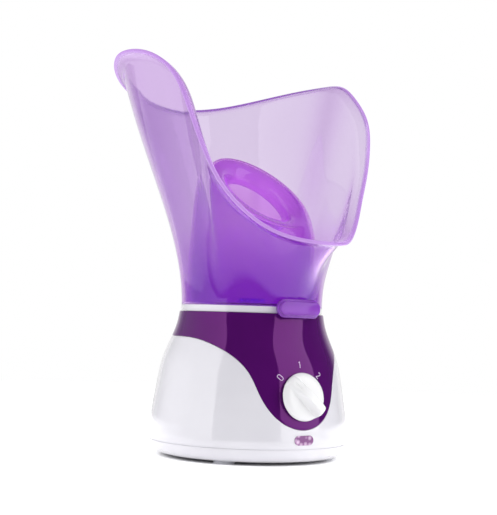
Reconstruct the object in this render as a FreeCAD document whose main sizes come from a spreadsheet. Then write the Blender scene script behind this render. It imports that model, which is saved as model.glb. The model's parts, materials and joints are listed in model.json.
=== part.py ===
import FreeCAD, Part
import math
import os
import re
import Sketcher
from FreeCAD import Placement, Rotation, Vector

# Facial steamer. Origin on the floor under the base's axis, +Z up, the switch
# knob and the face opening's chin side look along -Y. Millimetres and degrees.

SIZES = {
    # White housing and its dark fascia: the outer skin's radius at heights up the base.
    "seam_level": 10.5,
    "skin_foot": 65.0,
    "skin_belly": 65.4,
    "belly_level": 16.0,
    "skin_low": 64.0,
    "low_level": 32.0,
    "skin_middle": 61.1,
    "middle_level": 48.0,
    "skin_shoulder": 57.8,
    "shoulder_level": 64.0,
    "skin_waist": 51.4,
    "waist_level": 80.0,
    "skin_top": 47.8,
    "fascia_top": 94.2,
    "wall": 2.4,
    "parting_gap": 0.12,
    # Lower edge of the fascia, seen from the front.
    "tongue_bottom": 22.5,
    "tongue_round_across": 11.1,
    "tongue_round_level": 24.9,
    "tongue_corner_across": 20.6,
    "tongue_corner_level": 32.0,
    "tongue_side_across": 26.6,
    "tongue_side_level": 42.0,
    "tongue_flank_across": 32.3,
    "tongue_flank_level": 57.0,
    "tongue_neck_across": 40.0,
    "tongue_neck_level": 67.8,
    "tongue_shoulder_across": 47.6,
    "tongue_shoulder_level": 74.7,
    "band_across": 53.0,
    "band_level": 78.0,
    # Bottom cover, feet and the screws that close the base.
    "plate_level": 2.0,
    "plate_floor": 2.6,
    "plate_edge_round": 8.2,
    "foot_radius": 6.8,
    "foot_peg_radius": 2.4,
    "foot_ring": 50.0,
    "foot_angle": 48.5,
    "screw_ring": 51.4,
    "screw_front_angle": 78.0,
    "screw_back_angle": 152.0,
    "screw_shank": 1.5,
    "screw_head": 2.9,
    "screw_head_height": 1.3,
    "screw_reach": 14.0,
    "boss_radius": 3.6,
    "boss_top": 69.0,
    "fit_gap": 0.05,
    "seat_gap": 0.05,
    "vent_slot_half_length": 12.0,
    "vent_slot_half_width": 1.0,
    "vent_slot_pitch": 6.0,
    # White collar on top, with the deck that the mask and the cone stand on.
    "collar_radius": 46.9,
    "collar_skirt": 45.2,
    "collar_skirt_inner": 43.0,
    "collar_skirt_foot": 84.0,
    "deck_level": 98.4,
    "deck_underside": 95.0,
    "deck_mouth": 29.0,
    "seal_outer": 35.0,
    "seal_roof": 96.6,
    "spigot_outer": 41.0,
    "spigot_inner": 39.4,
    "spigot_height": 1.8,
    # Water pan, its heater and the parts clamped under it.
    "pan_radius": 31.0,
    "pan_wall": 1.2,
    "pan_floor_thickness": 1.8,
    "pan_floor_level": 60.0,
    "pan_flange_radius": 41.0,
    "pan_flange_thickness": 1.6,
    "pan_screw_ring": 38.0,
    "pan_screw_radius": 1.3,
    "pan_screw_head": 2.3,
    "pan_screw_head_height": 1.2,
    "pan_screw_grip": 2.4,
    "heater_radius": 14.5,
    "heater_height": 3.0,
    "clamp_length": 56.0,
    "clamp_width": 12.0,
    "clamp_thickness": 1.2,
    "stud_across": 24.5,
    "stud_radius": 1.5,
    "stud_length": 9.0,
    "nut_radius": 3.1,
    "nut_height": 2.4,
    "thermostat_radius": 6.8,
    "thermostat_height": 9.0,
    "thermostat_back": 22.4,
    "blade_across": 4.0,
    "blade_half_thickness": 0.4,
    "blade_half_width": 2.0,
    "blade_length": 5.0,
    "fuse_radius": 1.9,
    "fuse_length": 12.0,
    "fuse_lead": 5.0,
    "lead_radius": 0.5,
    "fuse_front": 21.5,
    # Steam cap that drops into the deck's mouth.
    "cap_flange": 33.0,
    "cap_skirt": 28.8,
    "cap_skirt_depth": 5.0,
    "cap_height": 5.4,
    "cap_chimney_rise": 2.0,
    "cap_chimney": 9.0,
    "cap_wall": 1.6,
    "vent_radius": 1.6,
    "vent_ring": 5.2,
    # Switch knob and the switch behind it, on an axis square to the sloping fascia.
    "knob_level": 42.7,
    "knob_reach": 62.2,
    "knob_tilt": 10.0,
    "knob_radius": 15.1,
    "knob_lift": 0.5,
    "knob_edge": 3.6,
    "knob_crown": 1.0,
    "knob_grip_width": 9.0,
    "knob_grip_height": 9.8,
    "knob_grip_root": 1.5,
    "knob_rest_turn": 44.0,
    "knob_round": 2.5,
    "grip_round": 3.2,
    "knob_well": 8.6,
    "knob_well_depth": 2.6,
    "spindle_radius": 3.0,
    "spindle_inner_end": 19.0,
    "spindle_outer_end": 7.6,
    "bushing_radius": 4.7,
    "switch_width": 27.0,
    "switch_front": 5.0,
    "switch_depth": 15.0,
    "switch_nut_radius": 7.2,
    "switch_nut_height": 2.0,
    "switch_blade_pitch": 8.0,
    "switch_blade_up": 10.0,
    # Indicator window and lamp.
    "lens_level": 16.3,
    "lens_half_length": 6.9,
    "lens_half_height": 3.0,
    "lens_face": 65.7,
    "lens_back": 60.8,
    "lens_flange_face": 61.9,
    "lens_flange_grow": 1.8,
    "lamp_radius": 2.3,
    "lamp_length": 11.0,
    "lamp_reach": 56.6,
    "lamp_lead": 4.0,
    "lamp_lead_radius": 0.4,
    "holder_half_length": 7.0,
    "holder_half_width": 2.5,
    "holder_shelf": 1.2,
    "holder_leg_across": 6.0,
    "holder_leg_half": 1.0,
    # Inner nasal cone.
    "cone_foot_level": 98.5,
    "cone_mid_radius": 42.35,
    "cone_wall": 2.2,
    "cone_mouth_centre": -4.5,
    "cone_mouth_level": 174.5,
    "cone_mouth_half_width": 29.5,
    "cone_mouth_half_run": 32.5,
    "cone_mouth_half_rise": 24.5,
    "cone_hole_half_width": 19.0,
    "cone_hole_half_slope": 28.0,
    "cone_hole_depth": 10.0,
    # Outer face mask.
    "mask_foot_level": 98.5,
    "mask_mid_radius": 45.6,
    "mask_wall": 2.3,
    "mask_lip": 9.0,
    "mask_lip_bend": 58.0,
    "tab_face_step": 1.6,
    "tab_face_inset": 1.3,
    "tab_half_width": 17.8,
    "tab_half_height": 6.0,
    "mask_turn": 4.2,
    "tab_level": 97.6,
    "tab_inner": 48.9,
    "tab_outer": 54.0,
    # Mains cord, its strain relief and its plug.
    "cord_radius": 2.9,
    "cord_slack": 0.3,
    "cord_exit_level": 18.0,
    "relief_collar": 6.6,
    "relief_neck": 4.9,
    "relief_tail": 3.9,
    "relief_tail_length": 20.0,
    "cord_heading": 32.3,
    "fold_half_width": 40.0,
    "fold_depth": 104.0,
    "fold_pitch": 24.0,
    "plug_aside": -13.0,
    "plug_length": 37.0,
    "plug_width": 35.3,
    "plug_height": 13.7,
    "plug_round": 2.0,
    "plug_lift": 0.2,
    "plug_neck_half": 4.5,
    "plug_waist_along": 10.0,
    "plug_waist_half": 5.5,
    "plug_shoulder_along": 14.0,
    "plug_cord_depth": 8.0,
    "pin_seat_depth": 10.0,
    "pin_radius": 2.0,
    "pin_root_radius": 1.8,
    "pin_root_length": 10.0,
    "pin_length": 19.0,
    "pin_spacing": 18.6,
    # Terminal block.
    "block_length": 26.0,
    "block_width": 13.0,
    "block_height": 12.0,
    "block_back": 24.0,
    "block_hole_pitch": 8.0,
    "block_hole_radius": 1.8,
    "block_hole_depth": 5.0,
    "block_hole_inset": 3.5,
    "wire_radius": 1.0,
}

# Rim of the face opening, right half from chin to forehead; the left half mirrors it.
RIM = [
    (0.0, -78.5, 138.0), (18.0, -72.6, 139.4), (33.0, -61.5, 145.3), (46.5, -50.5, 157.2),
    (57.0, -42.0, 172.3), (65.5, -36.6, 190.1), (71.7, -31.6, 209.0), (75.8, -24.2, 229.0),
    (77.5, -9.0, 247.0), (82.5, 12.0, 259.0), (85.0, 34.0, 262.0), (77.5, 58.5, 260.5),
    (62.0, 81.0, 255.5), (40.0, 98.0, 249.0), (0.0, 107.0, 244.0),
]

# Places each wire passes on its way between its two ends.
WIRE_BENDS = {
    "feed": [(-10, -20, 41), (-8, 6, 30)],
    "switch_to_heater": [(14, -24, 46), (13, -14, 52)],
    "switch_to_fuse": [(-8, -29, 50), (-18, -24, 55)],
    "return": [(5, 23, 40), (8, 27, 30)],
    "thermostat_to_heater": [(-10, 20, 43), (-12, 12, 48)],
    "lamp": [(16, -50, 18), (12, -20, 14), (9, 10, 12)],
}

doc = FreeCAD.newDocument("facial_steamer")
sheet = doc.addObject("Spreadsheet::Sheet", "Sizes")
for row, (alias, number) in enumerate(SIZES.items(), start=1):
    sheet.set("A%d" % row, alias)
    sheet.set("B%d" % row, str(number))
    sheet.setAlias("B%d" % row, alias)
doc.recompute()
SUBPARTS = []


def bound(expression):
    """The expression with each size name pointing at its cell."""
    return re.sub(r"[a-z][a-z_]+", lambda word: "Sizes." + word.group(0), expression)


def value(expression):
    """The number that an expression of size names comes to."""
    return float(sheet.evalExpression(bound(expression)))


def new_body(label):
    body = doc.addObject("PartDesign::Body", label)
    body.Label = label
    body.AllowCompound = True
    SUBPARTS.append(body)
    return body


def sketch_on(body, name, role, offset="0"):
    """Sketch on one of the body's origin planes, moved out along its normal."""
    sketch = body.newObject("Sketcher::SketchObject", name)
    plane = [feature for feature in body.Origin.OriginFeatures if feature.Role == role][0]
    sketch.AttachmentSupport = [(plane, "")]
    sketch.MapMode = "FlatFace"
    sketch.AttachmentOffset = Placement(Vector(0, 0, value(offset)), Rotation())
    sketch.setExpression("AttachmentOffset.Base.z", bound(offset))
    doc.recompute()
    return sketch


def pin_point(sketch, edge, end, across, up):
    """Hold one point of the sketch at two bound distances from its origin."""
    for kind, expression in (("DistanceX", across), ("DistanceY", up)):
        index = sketch.addConstraint(Sketcher.Constraint(kind, -1, 1, edge, end, value(expression)))
        sketch.setExpression("Constraints[%d]" % index, bound(expression))


def add_outline(sketch, corners):
    """Closed straight-sided outline with a bound place for each corner."""
    first = sketch.GeometryCount
    count = len(corners)
    places = [Vector(value(across), value(up), 0) for across, up in corners]
    for i in range(count):
        sketch.addGeometry(Part.LineSegment(places[i], places[(i + 1) % count]))
    for i in range(count):
        after = first + (i + 1) % count
        sketch.addConstraint(Sketcher.Constraint("Coincident", first + i, 2, after, 1))
        pin_point(sketch, first + i, 1, corners[i][0], corners[i][1])


def add_circle(sketch, across, up, radius):
    """Circle with a bound centre and radius."""
    centre = Vector(value(across), value(up), 0)
    edge = sketch.addGeometry(Part.Circle(centre, Vector(0, 0, 1), value(radius)))
    index = sketch.addConstraint(Sketcher.Constraint("Radius", edge, value(radius)))
    sketch.setExpression("Constraints[%d]" % index, bound(radius))
    pin_point(sketch, edge, 3, across, up)


def add_pill(sketch, up, half_length, half_height):
    """Level slot outline, centred across, with half-round ends."""
    level = value(up)
    radius = value(half_height)
    straight = value(half_length) - radius
    normal = Vector(0, 0, 1)
    left = Vector(-straight, level, 0)
    right = Vector(straight, level, 0)
    rise = Vector(0, radius, 0)
    sketch.addGeometry(Part.LineSegment(left + rise, right + rise))
    sketch.addGeometry(Part.LineSegment(left - rise, right - rise))
    right_round = Part.Circle(right, normal, radius)
    left_round = Part.Circle(left, normal, radius)
    sketch.addGeometry(Part.ArcOfCircle(right_round, -math.pi / 2, math.pi / 2))
    sketch.addGeometry(Part.ArcOfCircle(left_round, math.pi / 2, 3 * math.pi / 2))


def sweep_feature(body, kind, sketch, length, backward=False):
    """Pad or Pocket of one sketch; a Pocket must take something away."""
    before = body.Shape.Volume if kind == "Pocket" else 0.0
    feature = body.newObject("PartDesign::" + kind, sketch.Name + "_" + kind.lower())
    feature.Profile = sketch
    feature.Length = value(length)
    feature.setExpression("Length", bound(length))
    feature.Reversed = backward
    sketch.Visibility = False
    doc.recompute()
    if kind == "Pocket" and body.Shape.Volume >= before - 1e-6:
        raise RuntimeError(feature.Name + " cuts nothing")
    return feature


def turn_feature(body, sketch):
    """Full turn of a sketch about its vertical axis."""
    turn = body.newObject("PartDesign::Revolution", sketch.Name + "_turn")
    turn.Profile = sketch
    turn.ReferenceAxis = (sketch, ["V_Axis"])
    turn.Angle = 360
    sketch.Visibility = False
    doc.recompute()
    return turn


def turned(label, corners):
    """Body turned about Z from a straight-sided outline of (radius, height)."""
    body = new_body(label)
    sketch = sketch_on(body, label + "_profile", "XZ_Plane")
    add_outline(sketch, corners)
    turn_feature(body, sketch)
    return body


def round_edges(body, radius, chosen):
    """Fillet the edges of the body's tip that the test picks."""
    tip = body.Tip
    names = ["Edge%d" % (i + 1) for i, edge in enumerate(tip.Shape.Edges) if chosen(edge)]
    fillet = body.newObject("PartDesign::Fillet", body.Name + "_round")
    fillet.Base = (tip, names)
    fillet.Radius = value(radius)
    fillet.setExpression("Radius", bound(radius))
    doc.recompute()
    return fillet


def circle_at(radius, level):
    """Edge test: a full circle of this radius at this height."""
    def test(edge):
        if not isinstance(edge.Curve, Part.Circle):
            return False
        same_radius = abs(edge.Curve.Radius - value(radius)) < 1e-3
        return same_radius and abs(edge.Curve.Center.z - value(level)) < 1e-3
    return test


def around(ring, angle):
    """Across and up expressions of a point on a ring, angle counted from the front."""
    turn = math.radians(angle)
    across = "%s * %.9f" % (ring, math.sin(turn))
    up = "%s * %.9f" % (ring, -math.cos(turn))
    return across, up


def pillars(body, name, places, radius, foot, height, kind="Pad"):
    """Equal round pillars, or round holes, standing on one level."""
    sketch = sketch_on(body, name, "XY_Plane", foot)
    for across, up in places:
        add_circle(sketch, across, up, radius)
    return sweep_feature(body, kind, sketch, height, backward=(kind == "Pocket"))


def spline(points):
    """Smooth curve through points."""
    curve = Part.BSplineCurve()
    curve.interpolate(points)
    return curve


# ---------------------------------------------------------------- base casing


def skin_curve(inset):
    """Profile of the base's outer skin, moved in by the inset."""
    stations = [
        ("skin_foot", "seam_level"), ("skin_belly", "belly_level"), ("skin_low", "low_level"),
        ("skin_middle", "middle_level"), ("skin_shoulder", "shoulder_level"),
        ("skin_waist", "waist_level"), ("skin_top", "fascia_top"),
    ]
    return spline([Vector(value(radius) - inset, value(level), 0) for radius, level in stations])


def add_skin_shell(body):
    """The whole outer wall of the base, from the seam to the fascia's top."""
    sketch = sketch_on(body, body.Name + "_skin", "YZ_Plane")
    outer = skin_curve(0.0)
    inner = skin_curve(value("wall"))
    sketch.addGeometry(outer)
    sketch.addGeometry(inner)
    sketch.addGeometry(Part.LineSegment(outer.StartPoint, inner.StartPoint))
    sketch.addGeometry(Part.LineSegment(outer.EndPoint, inner.EndPoint))
    turn_feature(body, sketch)


def parting_curve(shift):
    """Lower edge of the fascia seen from the front, moved up by the shift."""
    half = [
        ("tongue_round_across", "tongue_round_level"),
        ("tongue_corner_across", "tongue_corner_level"),
        ("tongue_side_across", "tongue_side_level"), ("tongue_flank_across", "tongue_flank_level"),
        ("tongue_neck_across", "tongue_neck_level"),
        ("tongue_shoulder_across", "tongue_shoulder_level"), ("band_across", "band_level"),
        ("band_across + 7", "band_level"),
    ]
    right = [Vector(value(across), value(level) + shift, 0) for across, level in half]
    left = [Vector(-place.x, place.y, 0) for place in reversed(right)]
    bottom = Vector(0, value("tongue_bottom") + shift, 0)
    return spline(left + [bottom] + right)


def cut_along_parting(body, above, shift):
    """Take away the skin above or below the parting edge, front and back."""
    far = value("skin_belly") + 5
    limit = value("fascia_top") + 5 if above else -5.0
    curve = parting_curve(shift)
    start = curve.StartPoint
    end = curve.EndPoint
    front = sketch_on(body, body.Name + "_front_cut", "XZ_Plane")
    front.addGeometry(curve)
    corners = [end, Vector(far, end.y, 0), Vector(far, limit, 0), Vector(-far, limit, 0),
               Vector(-far, start.y, 0), start]
    for before, after in zip(corners, corners[1:]):
        front.addGeometry(Part.LineSegment(before, after))
    sweep_feature(body, "Pocket", front, "skin_belly + 5", backward=True)
    level = "band_level + %.3f" % shift
    back = sketch_on(body, body.Name + "_back_cut", "XZ_Plane")
    add_outline(back, [("-skin_belly - 5", level), ("skin_belly + 5", level),
                       ("skin_belly + 5", "%.3f" % limit), ("-skin_belly - 5", "%.3f" % limit)])
    sweep_feature(body, "Pocket", back, "skin_belly + 5")


def screw_places():
    angles = (value("screw_front_angle"), value("screw_back_angle"))
    return [around("screw_ring", side * angle) for angle in angles for side in (-1, 1)]


def foot_places():
    """One foot under the middle of the base and four round it."""
    angles = (value("foot_angle"), 180 - value("foot_angle"))
    outer = [around("foot_ring", side * angle) for angle in angles for side in (-1, 1)]
    return [("0", "0")] + outer


def make_housing():
    body = new_body("housing")
    add_skin_shell(body)
    cut_along_parting(body, above=True, shift=-value("parting_gap"))
    boss_foot = "plate_level + plate_floor + 0.1"
    pillars(body, "housing_bosses", screw_places(), "boss_radius", boss_foot,
            "boss_top - plate_level - plate_floor - 0.1")
    pillars(body, "housing_screw_bores", screw_places(), "screw_shank + fit_gap", boss_foot,
            "screw_reach + 4", "Pocket")
    window = sketch_on(body, "housing_window", "XZ_Plane", "lens_flange_face - 2")
    add_pill(window, "lens_level", "lens_half_length + 0.1", "lens_half_height + 0.1")
    sweep_feature(body, "Pocket", window, "12", backward=True)
    cord_hole = sketch_on(body, "housing_cord_hole", "XZ_Plane", "-skin_low + 12")
    add_circle(cord_hole, "0", "cord_exit_level", "relief_neck + fit_gap")
    sweep_feature(body, "Pocket", cord_hole, "20")
    return body


def make_fascia():
    body = new_body("fascia")
    add_skin_shell(body)
    cut_along_parting(body, above=False, shift=0.0)
    hole = sketch_on(body, "fascia_switch_hole", "XZ_Plane", "knob_reach - 8")
    add_circle(hole, "0", "knob_level - 0.2", "bushing_radius + 0.8")
    sweep_feature(body, "Pocket", hole, "20", backward=True)
    return body


def make_base_plate():
    body = turned("base_plate", [
        ("0", "plate_level"), ("skin_foot", "plate_level"), ("skin_foot", "seam_level - 0.1"),
        ("skin_foot - wall", "seam_level - 0.1"), ("skin_foot - wall", "plate_level + 5.5"),
        ("skin_foot - 5", "plate_level + plate_floor"), ("0", "plate_level + plate_floor"),
    ])
    round_edges(body, "plate_edge_round", circle_at("skin_foot", "plate_level"))
    pillars(body, "plate_screw_holes", screw_places(), "screw_shank + 0.2", "plate_level",
            "plate_floor + 1", "Pocket")
    pillars(body, "plate_head_wells", screw_places(), "screw_head + 0.2", "plate_level",
            "screw_head_height + 0.1", "Pocket")
    pillars(body, "plate_foot_holes", foot_places(), "foot_peg_radius + fit_gap", "plate_level",
            "plate_floor + 1", "Pocket")
    slots = sketch_on(body, "plate_vents", "XY_Plane", "plate_level")
    for step in (-4, -3, -2, 2, 3, 4):
        low_side = "vent_slot_pitch * %d - vent_slot_half_width" % step
        high_side = "vent_slot_pitch * %d + vent_slot_half_width" % step
        add_outline(slots, [(low_side, "-vent_slot_half_length"), (high_side, "-vent_slot_half_length"),
                            (high_side, "vent_slot_half_length"), (low_side, "vent_slot_half_length")])
    sweep_feature(body, "Pocket", slots, "plate_floor + 1", backward=True)
    return body


def make_feet():
    body = new_body("feet")
    pillars(body, "feet_pads", foot_places(), "foot_radius", "0", "plate_level")
    pillars(body, "feet_pegs", foot_places(), "foot_peg_radius", "plate_level", "plate_floor + 1.4")
    return body


def make_base_screws():
    body = new_body("base_screws")
    head_foot = "plate_level + seat_gap"
    pillars(body, "base_screw_heads", screw_places(), "screw_head", head_foot, "screw_head_height")
    pillars(body, "base_screw_shanks", screw_places(), "screw_shank",
            "plate_level + seat_gap + screw_head_height", "screw_reach")
    return body


def make_top_collar():
    body = turned("top_collar", [
        ("deck_mouth", "seal_roof"), ("seal_outer + 0.2", "seal_roof"),
        ("seal_outer + 0.2", "deck_underside"), ("collar_skirt_inner", "deck_underside"),
        ("collar_skirt_inner", "collar_skirt_foot"), ("collar_skirt", "collar_skirt_foot"),
        ("collar_skirt", "fascia_top + 0.1"), ("collar_radius", "fascia_top + 0.1"),
        ("collar_radius", "deck_level"), ("spigot_outer", "deck_level"),
        ("spigot_outer", "deck_level + spigot_height"),
        ("spigot_inner", "deck_level + spigot_height"), ("spigot_inner", "deck_level"),
        ("deck_mouth", "deck_level"),
    ])
    pillars(body, "collar_screw_bores", pan_screw_places(), "pan_screw_radius + fit_gap",
            "deck_underside - 0.5", "3.2", "Pocket")
    return body


# ------------------------------------------------------- water pan and heater


def pan_screw_places():
    return [around("pan_screw_ring", angle) for angle in (60, 180, 300)]


def stud_places():
    return [("-stud_across", "0"), ("stud_across", "0")]


def make_water_pan():
    flange_top = "deck_underside - seat_gap"
    flange_foot = flange_top + " - pan_flange_thickness"
    body = turned("water_pan", [
        ("0", "pan_floor_level"), ("pan_radius", "pan_floor_level"),
        ("pan_radius", flange_foot), ("pan_flange_radius", flange_foot),
        ("pan_flange_radius", flange_top), ("pan_radius - pan_wall", flange_top),
        ("pan_radius - pan_wall", "pan_floor_level + pan_floor_thickness"),
        ("0", "pan_floor_level + pan_floor_thickness"),
    ])
    pillars(body, "pan_flange_holes", pan_screw_places(), "pan_screw_radius + 0.15",
            "deck_underside - 3", "5", "Pocket")
    studs = sketch_on(body, "pan_studs", "XY_Plane", "pan_floor_level")
    for across, up in stud_places():
        add_circle(studs, across, up, "stud_radius")
    sweep_feature(body, "Pad", studs, "stud_length", backward=True)
    return body


def make_pan_seal():
    return turned("pan_seal", [
        ("pan_radius", "deck_underside"), ("seal_outer", "deck_underside"),
        ("seal_outer", "seal_roof - seat_gap"), ("pan_radius", "seal_roof - seat_gap"),
    ])


def make_pan_screws():
    body = new_body("pan_screws")
    head_top = "deck_underside - 2 * seat_gap - pan_flange_thickness"
    pillars(body, "pan_screw_heads", pan_screw_places(), "pan_screw_head",
            head_top + " - pan_screw_head_height", "pan_screw_head_height")
    pillars(body, "pan_screw_shanks", pan_screw_places(), "pan_screw_radius", head_top,
            "pan_flange_thickness + pan_screw_grip")
    return body


def make_heater_disc():
    top = "pan_floor_level - seat_gap"
    foot = top + " - heater_height"
    return turned("heater_disc", [("0", foot), ("heater_radius", foot), ("heater_radius", top), ("0", top)])


def make_heater_clamp():
    body = new_body("heater_clamp")
    level = "pan_floor_level - heater_height - 2 * seat_gap - clamp_thickness"
    strip = sketch_on(body, "clamp_strip", "XY_Plane", level)
    half_long = "clamp_length / 2"
    half_wide = "clamp_width / 2"
    add_outline(strip, [("-" + half_long, "-" + half_wide), (half_long, "-" + half_wide),
                        (half_long, half_wide), ("-" + half_long, half_wide)])
    for across, up in stud_places():
        add_circle(strip, across, up, "stud_radius + 0.2")
    sweep_feature(body, "Pad", strip, "clamp_thickness")
    return body


def make_clamp_nuts():
    body = new_body("clamp_nuts")
    level = "pan_floor_level - heater_height - 3 * seat_gap - clamp_thickness - nut_height"
    sketch = sketch_on(body, "clamp_nut_faces", "XY_Plane", level)
    for middle, _ in stud_places():
        corners = []
        for corner in range(6):
            turn = math.radians(60 * corner)
            corners.append(("%s + nut_radius * %.6f" % (middle, math.cos(turn)),
                            "nut_radius * %.6f" % math.sin(turn)))
        add_outline(sketch, corners)
        add_circle(sketch, middle, "0", "stud_radius + fit_gap")
    sweep_feature(body, "Pad", sketch, "nut_height")
    return body


def make_thermostat():
    """Bimetal switch under the pan's floor, with its two blade terminals."""
    body = new_body("thermostat")
    foot = "pan_floor_level - seat_gap - thermostat_height"
    pillars(body, "thermostat_can", [("0", "thermostat_back")], "thermostat_radius", foot,
            "thermostat_height")
    blades = sketch_on(body, "thermostat_blades", "XY_Plane", foot)
    for side in ("-", ""):
        inner = side + "blade_across - blade_half_thickness"
        outer = side + "blade_across + blade_half_thickness"
        front = "thermostat_back - blade_half_width"
        back = "thermostat_back + blade_half_width"
        add_outline(blades, [(inner, front), (outer, front), (outer, back), (inner, back)])
    sweep_feature(body, "Pad", blades, "blade_length", backward=True)
    return body


def make_thermal_fuse():
    """Fuse cartridge lying across under the pan, with a short lead at each end."""
    body = new_body("thermal_fuse")
    cartridge = sketch_on(body, "fuse_cartridge", "YZ_Plane", "-fuse_length / 2")
    axis_level = "pan_floor_level - 2 * seat_gap - fuse_radius"
    add_circle(cartridge, "-fuse_front", axis_level, "fuse_radius")
    sweep_feature(body, "Pad", cartridge, "fuse_length")
    leads = sketch_on(body, "fuse_leads", "YZ_Plane", "-fuse_length / 2 - fuse_lead")
    add_circle(leads, "-fuse_front", axis_level, "lead_radius")
    sweep_feature(body, "Pad", leads, "fuse_length + 2 * fuse_lead")
    return body


def make_steam_cap():
    """Splash lid with a low chimney and a ring of steam holes."""
    foot = "deck_level + seat_gap"
    body = turned("steam_cap", [
        ("cap_skirt - cap_wall", "deck_level - cap_skirt_depth"),
        ("cap_skirt", "deck_level - cap_skirt_depth"), ("cap_skirt", foot),
        ("cap_flange", foot), ("cap_flange", "deck_level + seat_gap + cap_wall"),
        ("cap_skirt - 1", "deck_level + seat_gap + cap_wall"),
        ("cap_chimney", "deck_level + cap_height - cap_chimney_rise"),
        ("cap_chimney", "deck_level + cap_height"),
        ("0", "deck_level + cap_height"), ("0", "deck_level + cap_height - cap_wall"),
        ("cap_chimney - cap_wall", "deck_level + cap_height - cap_wall"),
        ("cap_chimney - cap_wall", "deck_level + cap_height - cap_chimney_rise - cap_wall"),
        ("cap_skirt - cap_wall", "deck_level + 0.2"),
    ])
    holes = [("0", "0")] + [around("vent_ring", 60 * step) for step in range(6)]
    pillars(body, "cap_vents", holes, "vent_radius", "deck_level + cap_height - cap_wall - 1",
            "cap_wall + 2", "Pocket")
    return body


# ------------------------------------------------------------ switch and lamp


def on_fascia(body):
    """Stand a body, made about Z, on the fascia so that +Z points out of it."""
    body.Placement = Placement(Vector(0, -value("knob_reach"), value("knob_level")),
                               Rotation(Vector(1, 0, 0), 90 - value("knob_tilt")))
    body.setExpression("Placement.Base.y", bound("-knob_reach"))
    body.setExpression("Placement.Base.z", bound("knob_level"))


def make_knob():
    """Round knob with one raised grip bar across it, bored for the spindle."""
    body = turned("knob", [
        ("0", "knob_lift"), ("knob_radius", "knob_lift"), ("knob_radius", "knob_edge"),
        ("0", "knob_edge + knob_crown"),
    ])
    round_edges(body, "knob_round", circle_at("knob_radius", "knob_edge"))
    grip = sketch_on(body, "knob_grip", "XY_Plane", "knob_edge - knob_grip_root")
    turn = math.radians(90 + value("knob_rest_turn"))
    along = Vector(math.cos(turn), math.sin(turn), 0)
    half_width = value("knob_grip_width") / 2
    aside = Vector(-along.y, along.x, 0) * half_width
    reach = along * (value("knob_radius") - half_width - 0.1)
    grip.addGeometry(Part.LineSegment(reach + aside, aside - reach))
    grip.addGeometry(Part.LineSegment(reach - aside, -reach - aside))
    for end in (1, -1):
        tip = (reach + along * half_width) * end
        grip.addGeometry(Part.Arc(reach * end + aside, tip, reach * end - aside))
    sweep_feature(body, "Pad", grip, "knob_grip_height - knob_edge + knob_grip_root")
    top = value("knob_grip_height")
    round_edges(body, "grip_round", lambda edge: edge.BoundBox.ZMin > top - 1e-3)
    centre = [("0", "0")]
    pillars(body, "knob_nut_well", centre, "knob_well", "knob_lift", "knob_well_depth", "Pocket")
    pillars(body, "knob_bore", centre, "spindle_radius + 0.02", "knob_lift",
            "spindle_outer_end + 0.1 - knob_lift", "Pocket")
    on_fascia(body)
    return body


def make_switch_spindle():
    body = turned("switch_spindle", [
        ("0", "-spindle_inner_end"), ("spindle_radius + 2", "-spindle_inner_end"),
        ("spindle_radius + 2", "-spindle_inner_end + 2"),
        ("spindle_radius", "-spindle_inner_end + 2"), ("spindle_radius", "spindle_outer_end"),
        ("0", "spindle_outer_end"),
    ])
    on_fascia(body)
    return body


def make_rotary_switch():
    """Square switch block with a threaded bushing round the spindle."""
    body = new_body("rotary_switch")
    half = "switch_width / 2"
    block = sketch_on(body, "switch_block", "XY_Plane", "-switch_front - switch_depth")
    add_outline(block, [("-" + half, "-" + half), (half, "-" + half), (half, half),
                        ("-" + half, half)])
    sweep_feature(body, "Pad", block, "switch_depth")
    centre = [("0", "0")]
    pillars(body, "switch_bushing", centre, "bushing_radius", "-switch_front",
            "switch_front + switch_nut_height + 0.8")
    pillars(body, "switch_bore", centre, "spindle_radius + fit_gap",
            "-spindle_inner_end + 1", "spindle_inner_end + 6", "Pocket")
    pillars(body, "switch_cam_room", centre, "spindle_radius + 2 + fit_gap",
            "-spindle_inner_end - 0.1", "2.2", "Pocket")
    blades = sketch_on(body, "switch_blades", "XY_Plane", "-switch_front - switch_depth")
    low = "switch_blade_up - blade_half_thickness"
    high = "switch_blade_up + blade_half_thickness"
    for step in (-1, 0, 1):
        left = "switch_blade_pitch * %d - blade_half_width" % step
        right = "switch_blade_pitch * %d + blade_half_width" % step
        add_outline(blades, [(left, low), (right, low), (right, high), (left, high)])
    sweep_feature(body, "Pad", blades, "blade_length", backward=True)
    on_fascia(body)
    return body


def make_switch_nut():
    body = new_body("switch_nut")
    sketch = sketch_on(body, "switch_nut_face", "XY_Plane", "0.5")
    corners = []
    for corner in range(6):
        turn = math.radians(60 * corner)
        corners.append(("switch_nut_radius * %.6f" % math.cos(turn),
                        "switch_nut_radius * %.6f" % math.sin(turn)))
    add_outline(sketch, corners)
    add_circle(sketch, "0", "0", "bushing_radius + fit_gap")
    sweep_feature(body, "Pad", sketch, "switch_nut_height")
    on_fascia(body)
    return body


def make_indicator_lens():
    """Clear window with a flange behind the housing wall."""
    body = new_body("indicator_lens")
    window = sketch_on(body, "lens_window", "XZ_Plane", "lens_back")
    add_pill(window, "lens_level", "lens_half_length", "lens_half_height")
    sweep_feature(body, "Pad", window, "lens_face - lens_back")
    flange = sketch_on(body, "lens_flange", "XZ_Plane", "lens_back")
    add_pill(flange, "lens_level", "lens_half_length + lens_flange_grow",
             "lens_half_height + lens_flange_grow")
    sweep_feature(body, "Pad", flange, "lens_flange_face - lens_back")
    return body


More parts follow.
